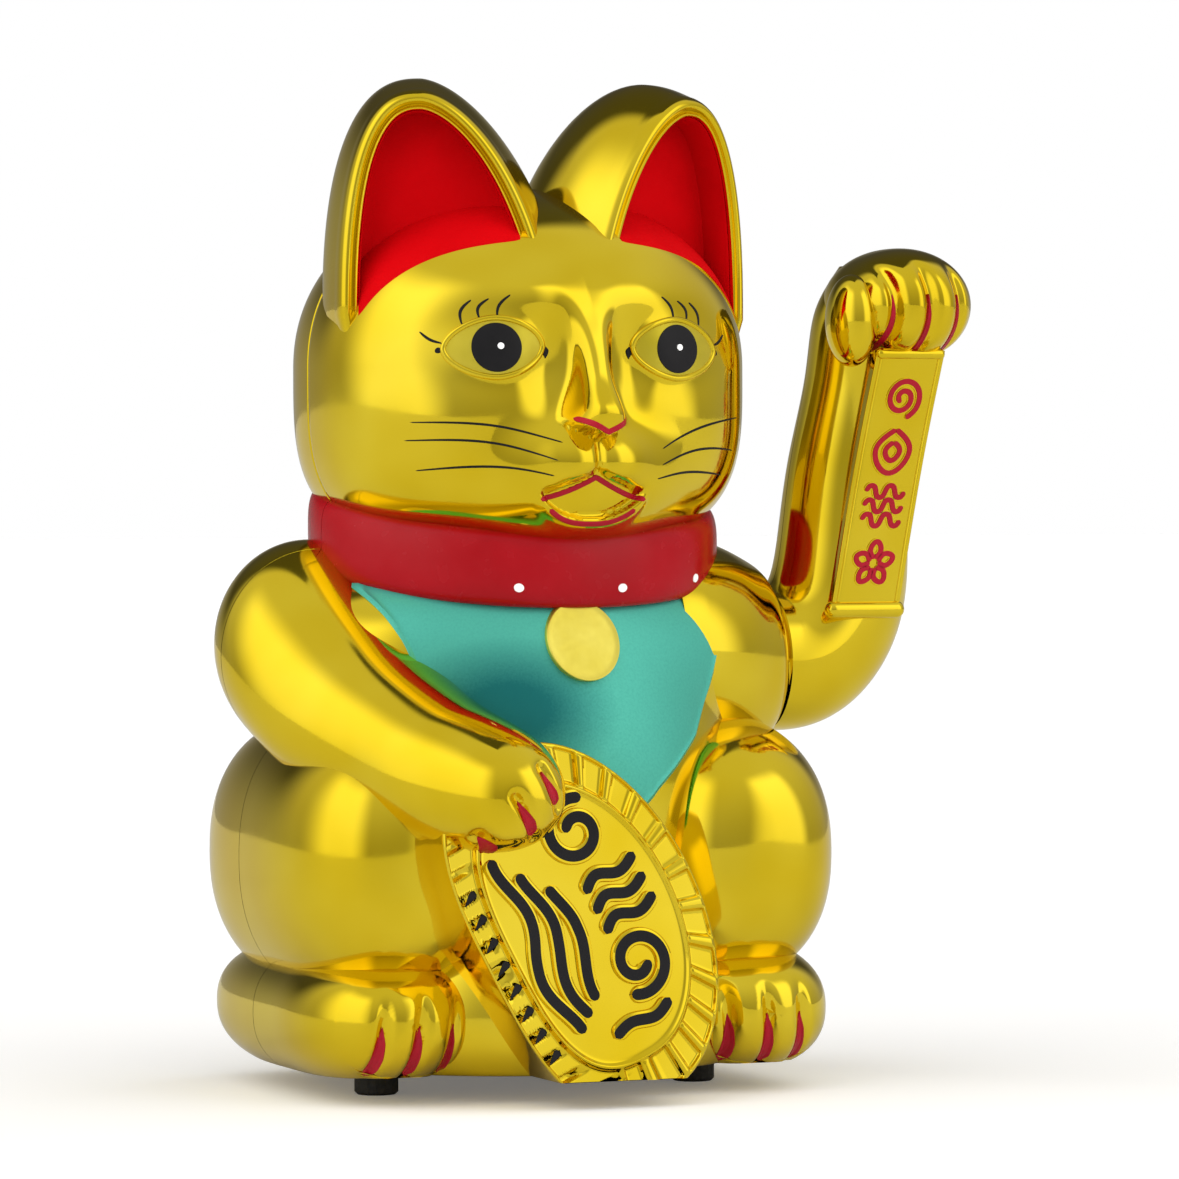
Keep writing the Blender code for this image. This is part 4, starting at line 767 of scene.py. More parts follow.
def coin_place(p, q):
    """From the coin's own axes, across and along, to x and z."""
    x = COIN_X + p * math.cos(COIN_TILT) - q * math.sin(COIN_TILT)
    return x, COIN_Z + p * math.sin(COIN_TILT) + q * math.cos(COIN_TILT)


def coin_outline(turn):
    """The coin's edge: half an ellipse on the right, and a squarer half on the left."""
    right = np.cos(turn) > 0
    power = np.where(right, 2.0, 3.0)
    half = np.where(right, COIN_RIGHT, COIN_LEFT)
    return half * bent(np.cos(turn), power), COIN_LONG * bent(np.sin(turn), power)


def coin_face_relief(share, turn, p, q):
    """The coin's face: a rounded rim, a sunk border ring with cuts and ribs, a bead, and the flat panel."""
    ring = ease(share, 0.775, 0.80) * (1 - ease(share, 0.965, 0.985))
    bead = 0.9 * np.exp(-(((share - 0.765) / 0.016) ** 2))
    left = ease(-p, 8, 16)
    steps = np.cos(q * 2 * math.pi / CUT_SPACING - 0.8 * share)
    cuts = -2.2 * ease(steps, 0.35, 0.75) * ring * left * ease(share, 0.80, 0.92)
    ribs = 1.9 * ease(np.cos(turn * 27.0), 0.2, 0.95) * ring * (1 - left)
    return -1.3 * ring + bead + cuts + ribs


def coin():
    """The coin's plate: its face in polar form round the panel's middle, then the edge and the side wall."""
    turn = np.linspace(0, 2 * math.pi, 541)[:-1]
    p, q = coin_outline(turn)
    share = np.concatenate([np.linspace(0.004, 0.70, 26), np.linspace(0.72, 0.985, 66)])
    p_face, q_face = share[:, None] * p, share[:, None] * q
    lift = coin_face_relief(share[:, None], turn[None, :], p_face, q_face)
    edge = np.array((0.993, 0.998, 1.0, 1.0, 1.0, 1.0))
    edge_lift = np.array((-0.15, -0.5, -1.2, -10, -22, -34.0))
    p_all = np.concatenate([p_face, edge[:, None] * p])
    q_all = np.concatenate([q_face, edge[:, None] * q])
    lift_all = np.concatenate([lift, np.broadcast_to(edge_lift[:, None], (6, len(turn)))])
    x, z = coin_place(p_all, q_all)
    z = np.maximum(z, SHELL_BOTTOM + 0.15)
    y = COIN_FACE_Y + COIN_LEAN * (z - COIN_Z) - lift_all
    return [(capped(np.stack([x, y, z], -1)), True)]


def coin_surface(p, q, lift):
    """A point on the coin's panel from its own axes."""
    x, z = coin_place(p, q)
    return np.stack([x, COIN_FACE_Y + COIN_LEAN * (z - COIN_Z) - lift, z], -1)


# ---------------------------------------------------------------- collar and bib


def collar_point(heading, level, lift):
    """A point on the collar: an oval ring round the neck, its section a squarish bulge, sloping with y."""
    bulge = 6.5 * (np.clip(1 - np.abs(level / COLLAR_HALF_HEIGHT) ** 3, 0, 1) ** 0.25 - 1) + lift
    x = (COLLAR_RADII[0] + bulge) * np.sin(heading)
    y = COLLAR_Y - (COLLAR_RADII[1] + bulge) * np.cos(heading)
    return np.stack([x, y, COLLAR_Z + COLLAR_SLOPE * y + level], -1)


def collar_surface(across, up, lift):
    """The collar's outer face from distances round it, from the front, and up from its middle line."""
    return collar_point(across / COLLAR_RADII[1], up, lift)


def collar_half(front):
    """Half of the collar: its section, carried round from seam to seam."""
    edge = math.acos((COLLAR_Y + (SEAM if front else -SEAM)) / COLLAR_RADII[1])
    heading = np.linspace(-edge, edge, 150) if front else np.linspace(edge, 2 * math.pi - edge, 150)
    level = COLLAR_HALF_HEIGHT * np.sin(np.linspace(-1, 1, 29) * math.pi / 2)
    outer = collar_point(heading[:, None], level[None, :], 0.0)
    inner = collar_point(heading[:, None], level[None, ::-1] * 0.98, -9.0)
    return capped(np.concatenate([outer, inner], axis=1)), True


BIB_EDGE_Z = (78, 81, 88, 96, 105, 119.5, 133.5, 141, 149, 152)
BIB_EDGE_X = (0, 9, 20, 29, 38, 45.5, 50.5, 54, 58.5, 58)


def bib_outline():
    """The bib's edge: a rounded V that widens to the shoulders, closed across the top under the collar."""
    tip = np.linspace(0, 1, 14)
    z = np.concatenate([BIB_EDGE_Z[0] + 10 * tip**2, np.linspace(90, BIB_EDGE_Z[-1], 46)])
    x = np.interp(z, BIB_EDGE_Z, BIB_EDGE_X)
    x[:14] = 20.5 * tip
    across = BIB_EDGE_X[-1] * np.linspace(1, -1, 40)[1:-1]
    top = np.stack([across, np.full(len(across), BIB_EDGE_Z[-1])], 1)
    right = np.stack([x, z], 1)
    return np.concatenate([right, top, right[::-1] * (-1, 1)])[:-1]


MEDAL_Z, MEDAL_RADII = 134.0, (11.6, 11.9)


def medallion_surface(x, z, lift):
    """The plane of the medallion, which leans with the chest under it: y is linear in z."""
    below, above = MEDAL_Z - 11, MEDAL_Z + 11
    low, high = trunk_depth(np.zeros(2), np.array((below, above)))
    y = low + (high - low) * (z - below) / (above - below)
    return np.stack([x, y - 0.4 - lift, z], -1)


# ---------------------------------------------------------------- face paint


PUPIL_RADIUS, GLINT_RADIUS, GLINT_SHIFTS = 7.15, 0.95, (0.9, 0.3)
EYE_SLANT = -0.05  # radians
INNER_CORNER = ((14.6, 219.8), (13.4, 218.4), (13.2, 216.2))
OUTER_SPOT = ((43.2, 219.0), (44.6, 217.8))
LASHES = (
    ((37.5, 225.9), (37.6, 229.6), (34.5, 233.1)),
    ((32.7, 227.4), (33.0, 230.4), (29.8, 233.5)),
    ((27.9, 227.6), (27.4, 231.1), (23.9, 234.6)),
    ((42.9, 220.5), (45.7, 221.5), (48.2, 223.9)),
)
WHISKERS_RIGHT = (
    ((-51, 197.6), (-24.7, 195.8), (-11.2, 191.8)),
    ((-52.1, 192.3), (-26, 190.9), (-12.9, 186.5)),
    ((-48.6, 183.6), (-23.3, 184.2), (-13.7, 182.1)),
)
WHISKERS_LEFT = (
    ((22.6, 190), (35.5, 195.8), (54.7, 199.4)),
    ((22.3, 185.3), (36.1, 189.7), (53.4, 189.7)),
    ((20.5, 181.2), (30.5, 183), (49, 182.4)),
)


def stroke(surface, points, half_width, count=40):
    """A painted line through points, thinner towards its ends."""
    share = np.linspace(-1, 1, count)
    return ribbon(surface, smooth_path(points, count), half_width * (1 - 0.55 * share**2), 0.14, sink=0.4)


def wedge(surface, points, widths, lift=0.16):
    """A painted stroke whose half width changes from point to point."""
    width = np.interp(np.linspace(0, 1, 30), np.linspace(0, 1, len(widths)), widths)
    return ribbon(surface, smooth_path(points, 30), width, lift)


def lip_line(head, reach, count, height, half_width):
    """A red line across the face whose height is a function of x."""
    x = np.linspace(-reach, reach, count)
    return ribbon(head, np.stack([x, height(x)], 1), half_width, 0.25, sink=0.4)


def face_pieces(materials):
    """Eyes, lashes, whiskers and the red lines of nose and mouth, each raised from the head's front."""
    head = depth_surface(head_depth)
    black, gold = materials["black"], materials["gold"]
    for (side, name), dot in zip(SIDES, GLINT_SHIFTS):
        centre = (side * EYE_X, EYE_Z)
        outline = oval(centre, (EYE_HALF_WIDTH, EYE_HALF_HEIGHT), 1.75, side * EYE_SLANT, 96)
        piece(f"eye_{name}", [patch(head, outline, 0.35)], materials["eye"], node="front_shell")
        piece(f"eye_rim_{name}", [ring_bead(head, outline, 0.95, 0.15)], gold)
        pupil = oval(centre, (PUPIL_RADIUS, PUPIL_RADIUS), around=72)
        piece(f"pupil_{name}", [patch(head, pupil, 0.6)], black)
        glint = oval((centre[0] + dot, centre[1] + 0.4), (GLINT_RADIUS, GLINT_RADIUS), around=24)
        piece(f"eye_dot_{name}", [patch(head, glint, 0.85, rings=5)], materials["white"])
        lashes = [stroke(head, np.array(lash) * (side, 1), 0.42) for lash in LASHES]
        lashes.append(wedge(head, np.array(INNER_CORNER) * (side, 1), (0.7, 1.2, 0.15), lift=0.3))
        lashes.append(wedge(head, np.array(OUTER_SPOT) * (side, 1), (0.9, 0.7)))
        piece(f"lashes_{name}", lashes, black)
    piece("whiskers_right", [stroke(head, points, 0.36, 60) for points in WHISKERS_RIGHT], black)
    piece("whiskers_left", [stroke(head, points, 0.36, 60) for points in WHISKERS_LEFT], black)
    lines = [
        lip_line(head, 8.0, 61, lambda x: 194.8 + 4.2 * np.abs(x) / 8.3, 0.8),  # under the nose
        lip_line(head, 16.5, 81, lambda x: upper_lip(x) + 0.3, 0.75),
        lip_line(head, 13.5, 61, lambda x: lower_lip(x) - 0.5, 0.7),
    ]
    piece("nose_and_lip_lines", lines, materials["line_red"])


# ---------------------------------------------------------------- raised arm


# The raised arm from its hub, and the socket from the body: x and z, y, and the half sizes of their ovals.
ARM_PATH = (
    (0, 126), (12, 128.3), (22.8, 141.5), (26.2, 162), (27.4, 185), (30.3, 210), (32.3, 231), (32.8, 246),
)
ARM_PATH_Y = (0, 0, 0, -0.5, -1.5, -4, -6, -7)
ARM_SIZES = (
    (21.5, 21), (22, 21), (21.7, 20), (20.4, 18.6), (18.6, 17.4), (17.0, 16.8), (16.6, 16.4), (9.5, 11),
)
SHOULDER_PATH = ((38, 130), (50, 128.5), (62, 127), (71, 126.3), (77, 126), (80, 126), (80.4, 126))
SHOULDER_SIZES = ((36, 41), (35.5, 39), (33.5, 35), (30.5, 30), (26.5, 26), (21.5, 21.5), (19.5, 19.5))
HUB_GAP = 0.4  # between the socket's plane and the arm


SQUARE_START = 7.0  # over this first stretch the rings turn from upright to square to the path


def sweep_half(front, path_points, path_depths, sizes, start_x):
    """Half of a tube: ovals square to its path, each cut where it meets the seam's plane."""
    share = np.linspace(0, 1, 150)
    knots = np.linspace(0, 1, len(path_points))
    path, depth = spline(knots, path_points)(share), spline(knots, path_depths)(share)
    size = spline(knots, sizes)(share)
    way = np.gradient(path, axis=0)
    way /= np.linalg.norm(way, axis=1)[:, None]
    upright = 1 - ease(path[:, :1] - path[0, 0], 0, SQUARE_START)
    way = way * (1 - upright) + np.array((1.0, 0.0)) * upright
    way /= np.linalg.norm(way, axis=1)[:, None]
    seam = (-SEAM if front else SEAM) - depth
    cut = np.arcsin(np.clip(seam, -0.97 * size[:, 1], 0.97 * size[:, 1]) / size[:, 1])
    start = -math.pi - cut if front else cut
    span = (cut + math.pi + cut) if front else (math.pi - 2 * cut)
    angle = start[:, None] + span[:, None] * np.linspace(0, 1, 60)[None, :]
    across, deep = size[:, :1] * np.cos(angle), size[:, 1:] * np.sin(angle)
    x = np.maximum(path[:, :1] + way[:, 1:] * across, path[0, 0]) + start_x
    z = path[:, 1:] - way[:, :1] * across
    return capped(np.stack([x, depth[:, None] + deep, z], -1)), True


PAW_X, PAW_Z = 118.6, 233.8
PAW_FRONT, PAW_BACK = -40.5, 9.0
PAW_HALF = (21.0, 17.6)
KNUCKLES = (108.0, 119.0, 129.8)
KNUCKLE_DEPTH, KNUCKLE_FADE = 2.8, (12, 30)


def knuckle_line(knuckle, z):
    """The x of the slit between two fingers at a height: a shallow crescent, open to the cat's right."""
    return knuckle - 1.9 * ((z - 228.0) / 12.0) ** 2 + 0.10 * (z - 228.0)


def paw_size(y):
    """The raised paw's half sizes at y: a squarish oval that rounds off at both ends."""
    middle = (PAW_FRONT + PAW_BACK) / 2
    share = np.clip(np.abs(y - middle) / (PAW_BACK - middle), 0, 1)
    round_off = np.sqrt(np.clip(1 - share**2.4, 1e-6, 1)) ** 0.9
    return round_off[..., None] * PAW_HALF


def knuckle_depth(x, z):
    """How deep the grooves between the fingers are at (x, z): bell-shaped valleys that fade out upwards."""
    depth = sum(np.exp(-(((x - knuckle_line(knuckle, z)) / 2.1) ** 2)) for knuckle in KNUCKLES)
    return depth * (1 - ease(z, 240, 249))


def raised_paw():
    """The raised paw: ovals at constant y, with grooves between the fingers in front."""
    parts = []
    for y in split_levels(PAW_FRONT, PAW_BACK, 130):
        grid = across_y(y, (PAW_X, PAW_Z), paw_size(y), 161)[:, :-1]
        fingers = knuckle_depth(grid[..., 0], grid[..., 2])
        grid[..., 1] += KNUCKLE_DEPTH * fingers * ease(-grid[..., 1], *KNUCKLE_FADE)
        parts.append(capped(grid))
    return parts


def paw_front(x, z):
    """The y of the raised paw's front at (x, z)."""

    def inside(x, y, z):
        size = paw_size(y)
        return np.hypot((x - PAW_X) / size[..., 0], (z - PAW_Z) / size[..., 1])

    y = solve_depth(inside, x, z, PAW_FRONT + 0.1, -16)
    return y + KNUCKLE_DEPTH * knuckle_depth(x, z) * ease(-y, *KNUCKLE_FADE)


def ball(centre, radii):
    """A closed oval ball: a sphere from its sines and cosines, stretched to its radii."""
    tall = np.linspace(-math.pi / 2, math.pi / 2, 40)[:, None]
    turn = (np.arange(64) * 2 * math.pi / 64)[None, :]
    sphere = np.stack([np.cos(tall) * np.cos(turn), np.cos(tall) * np.sin(turn), np.sin(tall) + 0 * turn], -1)
    return sphere * radii + centre, True


BANNER_Z = (141.0, 166.0, 190.0, 219.5)
BANNER_PATH = ((104.8, -21.0), (108.0, -23.5), (111.6, -25.5), (116.2, -29.5))
BANNER_HALF, BANNER_THICK, BANNER_SQUARE = 11.4, 1.9, 12.5
# The rolls at the scroll's ends: height, radius and half length.
BANNER_ROLLS = ((141.5, 2.7, 13.2), (219.0, 1.7, 11.6))


def banner_surface(across, up, lift):
    """The scroll's front from distances across it and up the figure."""
    middle = spline(BANNER_Z, BANNER_PATH)(up)
    return np.stack([middle[..., 0] + across, middle[..., 1] - lift, up], -1)


def banner():
    """The hanging scroll: a thin plate with margin lines, carried along its path, and a roll at each end."""
    up = np.linspace(141, 220, 140)[:, None]
    turn = (np.arange(160) * 2 * math.pi / 160)[None, :]
    across = BANNER_HALF * bent(np.cos(turn), BANNER_SQUARE)
    thick = -BANNER_THICK * bent(np.sin(turn), BANNER_SQUARE)
    groove = 0.45 * np.exp(-(((np.abs(across) - 9.7) / 0.35) ** 2)) * (thick > 1.2)
    plate = banner_surface(across + 0 * up, up + 0 * across, thick - groove + 0 * up)
    rolls = []
    for z, radius, reach in BANNER_ROLLS:
        middle = spline(BANNER_Z, BANNER_PATH)(np.array(z))
        share = np.linspace(-1, 1, 50)
        x = middle[0] + reach * share
        past = np.clip((np.abs(share) * reach - reach + radius) / radius, 0, 1)
        size = radius * np.sqrt(np.clip(1 - past**2, 1e-4, 1))
        line = np.stack([x, np.full(50, middle[1] - 1.0), np.full(50, z)], 1)
        rolls.append(tube(line, size, 20))
    return [(capped(plate), True)] + rolls


def circle_points(start, turns, count):
    """Points round a circle of radius 1."""
    angle = start + np.linspace(0, turns, count) * 2 * math.pi
    return np.stack([np.cos(angle), np.sin(angle)], 1)


def motif_strokes():
    """Four generic ornaments, each drawn with a few brush strokes in a square of half size 1."""
    spiral = circle_points(-1.2, 1.9, 24) * np.linspace(0.92, 0.12, 24)[:, None]
    diamond = np.array(((0, 0.95), (0.85, 0), (0, -0.95), (-0.85, 0), (0, 0.95)))
    wave = np.stack([np.linspace(-0.95, 0.95, 13), 0.28 * np.sin(np.linspace(0, 4 * math.pi, 13))], 1)
    petals = []
    for turn in np.arange(5) * 2 * math.pi / 5 + 0.3:
        way, side = np.array((math.cos(turn), math.sin(turn))), np.array((-math.sin(turn), math.cos(turn)))
        petals.append(np.array([
            way * 0.22, way * 0.6 + side * 0.26, way * 0.95, way * 0.6 - side * 0.26, way * 0.22,
        ]))
    return (
        [spiral],
        [diamond, diamond * 0.42],
        [wave + (0, 0.62), wave, wave - (0, 0.62)],
        petals,
    )


MOTIF_HEIGHTS = (205.5, 189.5, 173.0, 155.5)
MOTIF_HALF = 6.7


def motifs():
    """The scroll's ornaments: red strokes, each on a slightly wider gold edge."""
    red, edge = [], []
    for z, strokes in zip(MOTIF_HEIGHTS, motif_strokes()):
        for points in strokes:
            points = np.asarray(points, float) * (MOTIF_HALF, MOTIF_HALF * 1.04) + (0, z)
            path = smooth_path(points, 12 * len(points))
            edge.append(ribbon(banner_surface, path, 1.35, 2.25, sink=-1.4))
            red.append(ribbon(banner_surface, path, 0.92, 2.5, sink=-1.4))
    return red, edge


# ---------------------------------------------------------------- coin ornament


def scroll_bars():
    """The coin's ornament in its own axes: two shrinking spirals, long sine waves and short zigzags."""
    inwards = np.linspace(10.0, 2.6, 20)[:, None]
    spirals = ((0.9, (9.0, 24.5)), (4.0, (8.0, -17)))
    bars = [circle_points(start, 1.3, 20) * inwards + middle for start, middle in spirals]
    for shift in (0.0, 6.3, 12.6):
        q = np.linspace(-27 + 0.5 * shift, 30 - 1.2 * shift, 18)
        p = -19.0 + shift + 2.4 * np.sin(q / 6.0 + 0.12 * shift) + 0.10 * np.maximum(0, q)
        bars.append(np.stack([p, q], 1))
    for q in (9.5, 3.0, -3.5):
        bars.append(np.array(((3.0, q - 2.2), (8.5, q + 1.2), (14.5, q - 1.2), (22.0, q + 1.4))))
    bars.append(np.array(((-9.0, -33.0), (-2.0, -31.5), (5.0, -33.5), (11.5, -31.0))))
    return bars


def coin_paint():
    """The ornament's black bars and their gold edges, and the black cuts in the coin's border."""
    black, edge = [], []
    for points in scroll_bars():
        path = smooth_path(points, 8 * len(points))
        edge.append(ribbon(coin_surface, path, 2.6, 1.0, sink=0.6))
        black.append(ribbon(coin_surface, path, 1.85, 1.1, sink=0.3))
    for q in np.arange(-4, 4) * CUT_SPACING + 0.85:
        edge_p = -COIN_LEFT * (1 - (abs(q) / COIN_LONG) ** 3) ** (1 / 3)
        cut = ((0.955 * edge_p, q - 1.4), (0.81 * edge_p, q + 0.9))
        black.append(wedge(coin_surface, cut, (0.2, 1.5), lift=-0.55))
    return black, edge


# ---------------------------------------------------------------- materials


def add_node(tree, kind, inputs=None, **settings):
    """Adds a shader node: settings are its own fields; inputs give each socket a value or what feeds it."""
    node = tree.nodes.new("ShaderNode" + kind)
    for name, value in settings.items():
        setattr(node, name, value)
    for name, value in (inputs or {}).items():
        if isinstance(value, bpy.types.NodeSocket):
            tree.links.new(value, node.inputs[name])
        else:
            node.inputs[name].default_value = value
    return node


def feed(material, socket, source):
    """Links a node's output to a socket of the material's shader."""
    material.node_tree.links.new(source, material.node_tree.nodes["Principled BSDF"].inputs[socket])


def node_material(name, colour, roughness, metallic=0.0, coat=0.0, specular=0.5):
    """A Principled material with its uniform values set on the shader itself."""
    material = bpy.data.materials.new(name)
    material.use_nodes = True
    values = {
        "Base Color": (*colour, 1), "Roughness": roughness, "Metallic": metallic, "Coat Weight": coat,
        "Coat Roughness": 0.04, "Specular IOR Level": specular,
    }
    for socket, value in values.items():
        material.node_tree.nodes["Principled BSDF"].inputs[socket].default_value = value
    return material


def noise(material, scale, detail=3.0):
    """Cloudy noise on the piece's own coordinates."""
    tree = material.node_tree
    place = add_node(tree, "TexCoord").outputs["Object"]
    return add_node(tree, "TexNoise", {"Scale": scale, "Detail": detail, "Vector": place}).outputs["Fac"]


def vary(material, source, socket, low, high, start=0.3, end=0.7):
    """Drives a socket with a ramp between two values or colours."""
    tree = material.node_tree
    if isinstance(low, tuple):
        ramp = add_node(tree, "ValToRGB", {"Fac": source})
        for element, place, colour in zip(ramp.color_ramp.elements, (start, end), (low, high)):
            element.position, element.color = place, (*colour, 1)
        feed(material, socket, ramp.outputs["Color"])
        return
    span = {"From Min": start, "From Max": end, "To Min": low, "To Max": high}
    feed(material, socket, add_node(tree, "MapRange", {"Value": source, **span}).outputs["Result"])


def roughen(material, source, strength, distance):
    """Bump from a texture."""
    relief = {"Strength": strength, "Distance": distance, "Height": source}
    feed(material, "Normal", add_node(material.node_tree, "Bump", relief).outputs["Normal"])


def plated_gold():
    """Vacuum-plated plastic: bright yellow, mirror-like, with faint clouds in its gloss and soft waves."""
    material = node_material("plated_gold", (0.86, 0.65, 0.035), 0.07, metallic=1.0, coat=0.04)
    vary(material, noise(material, 26, 2.0), "Base Color", (0.80, 0.57, 0.012), (0.90, 0.69, 0.04))
    vary(material, noise(material, 60), "Roughness", 0.05, 0.13)
    roughen(material, noise(material, 35, 1.0), 0.05, 0.0006)
    return material


def eye_gold():
    """The duller, greener gold lacquer of the eyes, with a fine grain in its gloss."""
    material = node_material("eye_gold", (0.62, 0.50, 0.03), 0.38, metallic=0.75)
    vary(material, noise(material, 400, 2.0), "Roughness", 0.33, 0.45)
    vary(material, noise(material, 60, 2.0), "Base Color", (0.56, 0.45, 0.02), (0.68, 0.56, 0.05))
    return material


def paint(name, low, high, roughness, grain=500, specular=0.25, relief=0.15):
    """Sprayed paint: slight mottling in its colour and a fine grain."""
    material = node_material(name, low, roughness, specular=specular)
    vary(material, noise(material, 45, 3.0), "Base Color", low, high)
    grainy = noise(material, grain, 2.0)
    vary(material, grainy, "Roughness", roughness * 0.85, min(1.0, roughness * 1.2))
    roughen(material, grainy, relief, 0.00005)
    return material


def make_materials():
    """Every finish of the outside, by name."""
    return {
        "gold": plated_gold(),
        "eye": eye_gold(),
        "pale_gold": pale_gold(),
        "teal": teal_paint_and_arm_shade(),
        "collar_red": paint("collar_red", (0.28, 0.0006, 0.004), (0.33, 0.001, 0.006), 0.24, 180, 0.18, 0.05),
        "ear_red": paint("ear_red", (0.42, 0.0005, 0.002), (0.50, 0.001, 0.003), 0.75, 900, 0.02),
        "line_red": paint("line_red", (0.30, 0.002, 0.012), (0.36, 0.003, 0.018), 0.4, 900, 0.2),
        "black": paint("black_paint", (0.006, 0.006, 0.007), (0.010, 0.009, 0.010), 0.4, 700, 0.2),
        "white": paint("white_paint", (0.80, 0.80, 0.80), (0.86, 0.86, 0.85), 0.4, 900),
    }


def pale_gold():
    """The medallion's soft pale gold lacquer."""
    material = node_material("pale_gold", (0.80, 0.68, 0.10), 0.33, metallic=0.85)
    vary(material, noise(material, 90, 3.0), "Base Color", (0.76, 0.63, 0.08), (0.86, 0.74, 0.13))
    vary(material, noise(material, 700, 2.0), "Roughness", 0.3, 0.4)
    return material


def teal_paint_and_arm_shade():
    """Pearly sprayed paint with a sparkling grain, darker in one round patch: painted shade on the bib beside the
    lowered arm.
    """
    material = node_material("bib_teal", (0.10, 0.50, 0.42), 0.36, metallic=0.55)
    tree = material.node_tree
    # painted shade: a round patch on the bib next to the lowered arm, darkest at its middle
    painted_arm_shade = {
        "Vector": add_node(tree, "TexCoord").outputs["Object"],
        "Location": tuple(place_points((-24.0, -56.0, 114.0))), "Scale": (0.034, 0.05, 0.022),
    }
    shift = add_node(tree, "Mapping", painted_arm_shade, vector_type="TEXTURE")
    painted_arm_shade = add_node(tree, "TexGradient", {"Vector": shift.outputs["Vector"]}, gradient_type="SPHERICAL")
    grain = noise(material, 1500, 2.0)
    # the grain mixed with the painted shade
    both = add_node(tree, "Math", {0: grain, 1: 0.22, 2: painted_arm_shade.outputs["Fac"]}, operation="MULTIPLY_ADD")
    # teal paint where no shade is painted, deep dark teal for the painted shade beside the arm
    vary(material, both.outputs["Value"], "Base Color", (0.075, 0.46, 0.36), (0.0, 0.155, 0.155), 0.08, 0.75)
    vary(material, grain, "Roughness", 0.3, 0.5)
    roughen(material, noise(material, 1200, 2.0), 0.25, 0.00006)
    return material


# ---------------------------------------------------------------- studio


CAMERA_TURN = -math.radians(23.0)
CAMERA_DISTANCE, CAMERA_HEIGHT = 1776.0, 183.0
CAMERA_AIM_RIGHT, CAMERA_AIM_HEIGHT = 21.75, 148.0
CAMERA_LENS = 180.8
DIFFUSE_GAIN = 2.5  # how much more light matt surfaces get than shiny ones, so that the floor comes out white
FLOOR_GLOW = 0.14  # the floor's own light, which lifts the shadows
FLOOR_REACH = 14.0  # metres


def studio_world():
    """A studio by direction: grey, a bright panel on each side, nearly dark behind, white to the eye."""
    world = bpy.data.worlds.new("studio")
    bpy.context.scene.world = world
    world.use_nodes = True
    tree = world.node_tree
    tree.nodes.clear()
    background = add_node(tree, "Background", {"Color": (1.0, 0.99, 0.975, 1)})
    white = add_node(tree, "Background", {"Color": (1, 1, 1, 1), "Strength": 1.0})
    ray = add_node(tree, "LightPath")
    sky, plain = background.outputs["Background"], white.outputs["Background"]
    choice = add_node(tree, "MixShader", {0: ray.outputs["Is Camera Ray"], 1: sky, 2: plain})
    add_node(tree, "OutputWorld", {"Surface": choice.outputs["Shader"]})
    around = {"Vector": add_node(tree, "TexCoord").outputs["Generated"], "Angle": -CAMERA_TURN}
    turned = add_node(tree, "VectorRotate", around, rotation_type="Z_AXIS").outputs["Vector"]
    split = add_node(tree, "SeparateXYZ", {"Vector": turned})

    def math_node(operation, *values):
        return add_node(tree, "Math", dict(enumerate(values)), operation=operation).outputs["Value"]

    def step(value, low, high):
        span = {"Value": value, "From Min": low, "From Max": high}
        return add_node(tree, "MapRange", span, interpolation_type="SMOOTHSTEP").outputs["Result"]

    x, y, z = (split.outputs[axis] for axis in "XYZ")
    heading = math_node("ARCTAN2", x, math_node("MULTIPLY", y, -1.0))  # 0 in front of the figure's lit face
    height = math_node("ARCSINE", z)

    def window(value, low, high, soft):
        before_end = math_node("SUBTRACT", 1.0, step(value, high - soft, high + soft))
        return math_node("MULTIPLY", step(value, low - soft, low + soft), before_end)

    light = math_node("MULTIPLY_ADD", step(height, -0.6, 1.1), 0.40, 0.27)
    left = math_node("MULTIPLY", window(heading, -1.55, -0.42, 0.28), window(height, -0.12, 0.95, 0.18))
    light = math_node("MULTIPLY_ADD", left, 0.74, light)
    right = math_node("MULTIPLY", window(heading, 0.75, 1.45, 0.16), window(height, -0.1, 0.9, 0.12))
    light = math_node("MULTIPLY_ADD", right, 0.75, light)
    behind = step(math_node("ABSOLUTE", math_node("SUBTRACT", heading, 0.2)), 2.1, 2.5)
    behind = math_node("MULTIPLY", behind, step(height, -0.12, 0.42))
    light = math_node("MULTIPLY", light, math_node("SUBTRACT", 1.0, math_node("MULTIPLY", behind, 0.88)))
    matt = math_node("MULTIPLY_ADD", ray.outputs["Is Diffuse Ray"], DIFFUSE_GAIN - 1.0, 1.0)
    tree.links.new(math_node("MULTIPLY", light, matt), background.inputs["Strength"])


def add_camera():
    """The camera: it looks at the figure's middle from the cat's right, a little from above."""
    away = np.array((math.sin(CAMERA_TURN), -math.cos(CAMERA_TURN), 0.0))
    right = np.array((math.cos(CAMERA_TURN), math.sin(CAMERA_TURN), 0.0))
    eye = Vector(place_points(away * CAMERA_DISTANCE + right * CAMERA_AIM_RIGHT + (0, 0, CAMERA_HEIGHT)))
    aim = Vector(place_points(right * CAMERA_AIM_RIGHT + (0, 0, CAMERA_AIM_HEIGHT)))
    data = bpy.data.cameras.new("camera")
    data.lens, data.sensor_width = CAMERA_LENS, 36.0
    camera = bpy.data.objects.new("camera", data)
    bpy.context.scene.collection.objects.link(camera)
    camera.location = eye
    camera.rotation_euler = (aim - eye).to_track_quat("-Z", "Y").to_euler()
    bpy.context.scene.camera = camera
    bpy.context.scene.view_settings.view_transform = "Standard"
    bpy.context.scene.view_settings.look = "None"


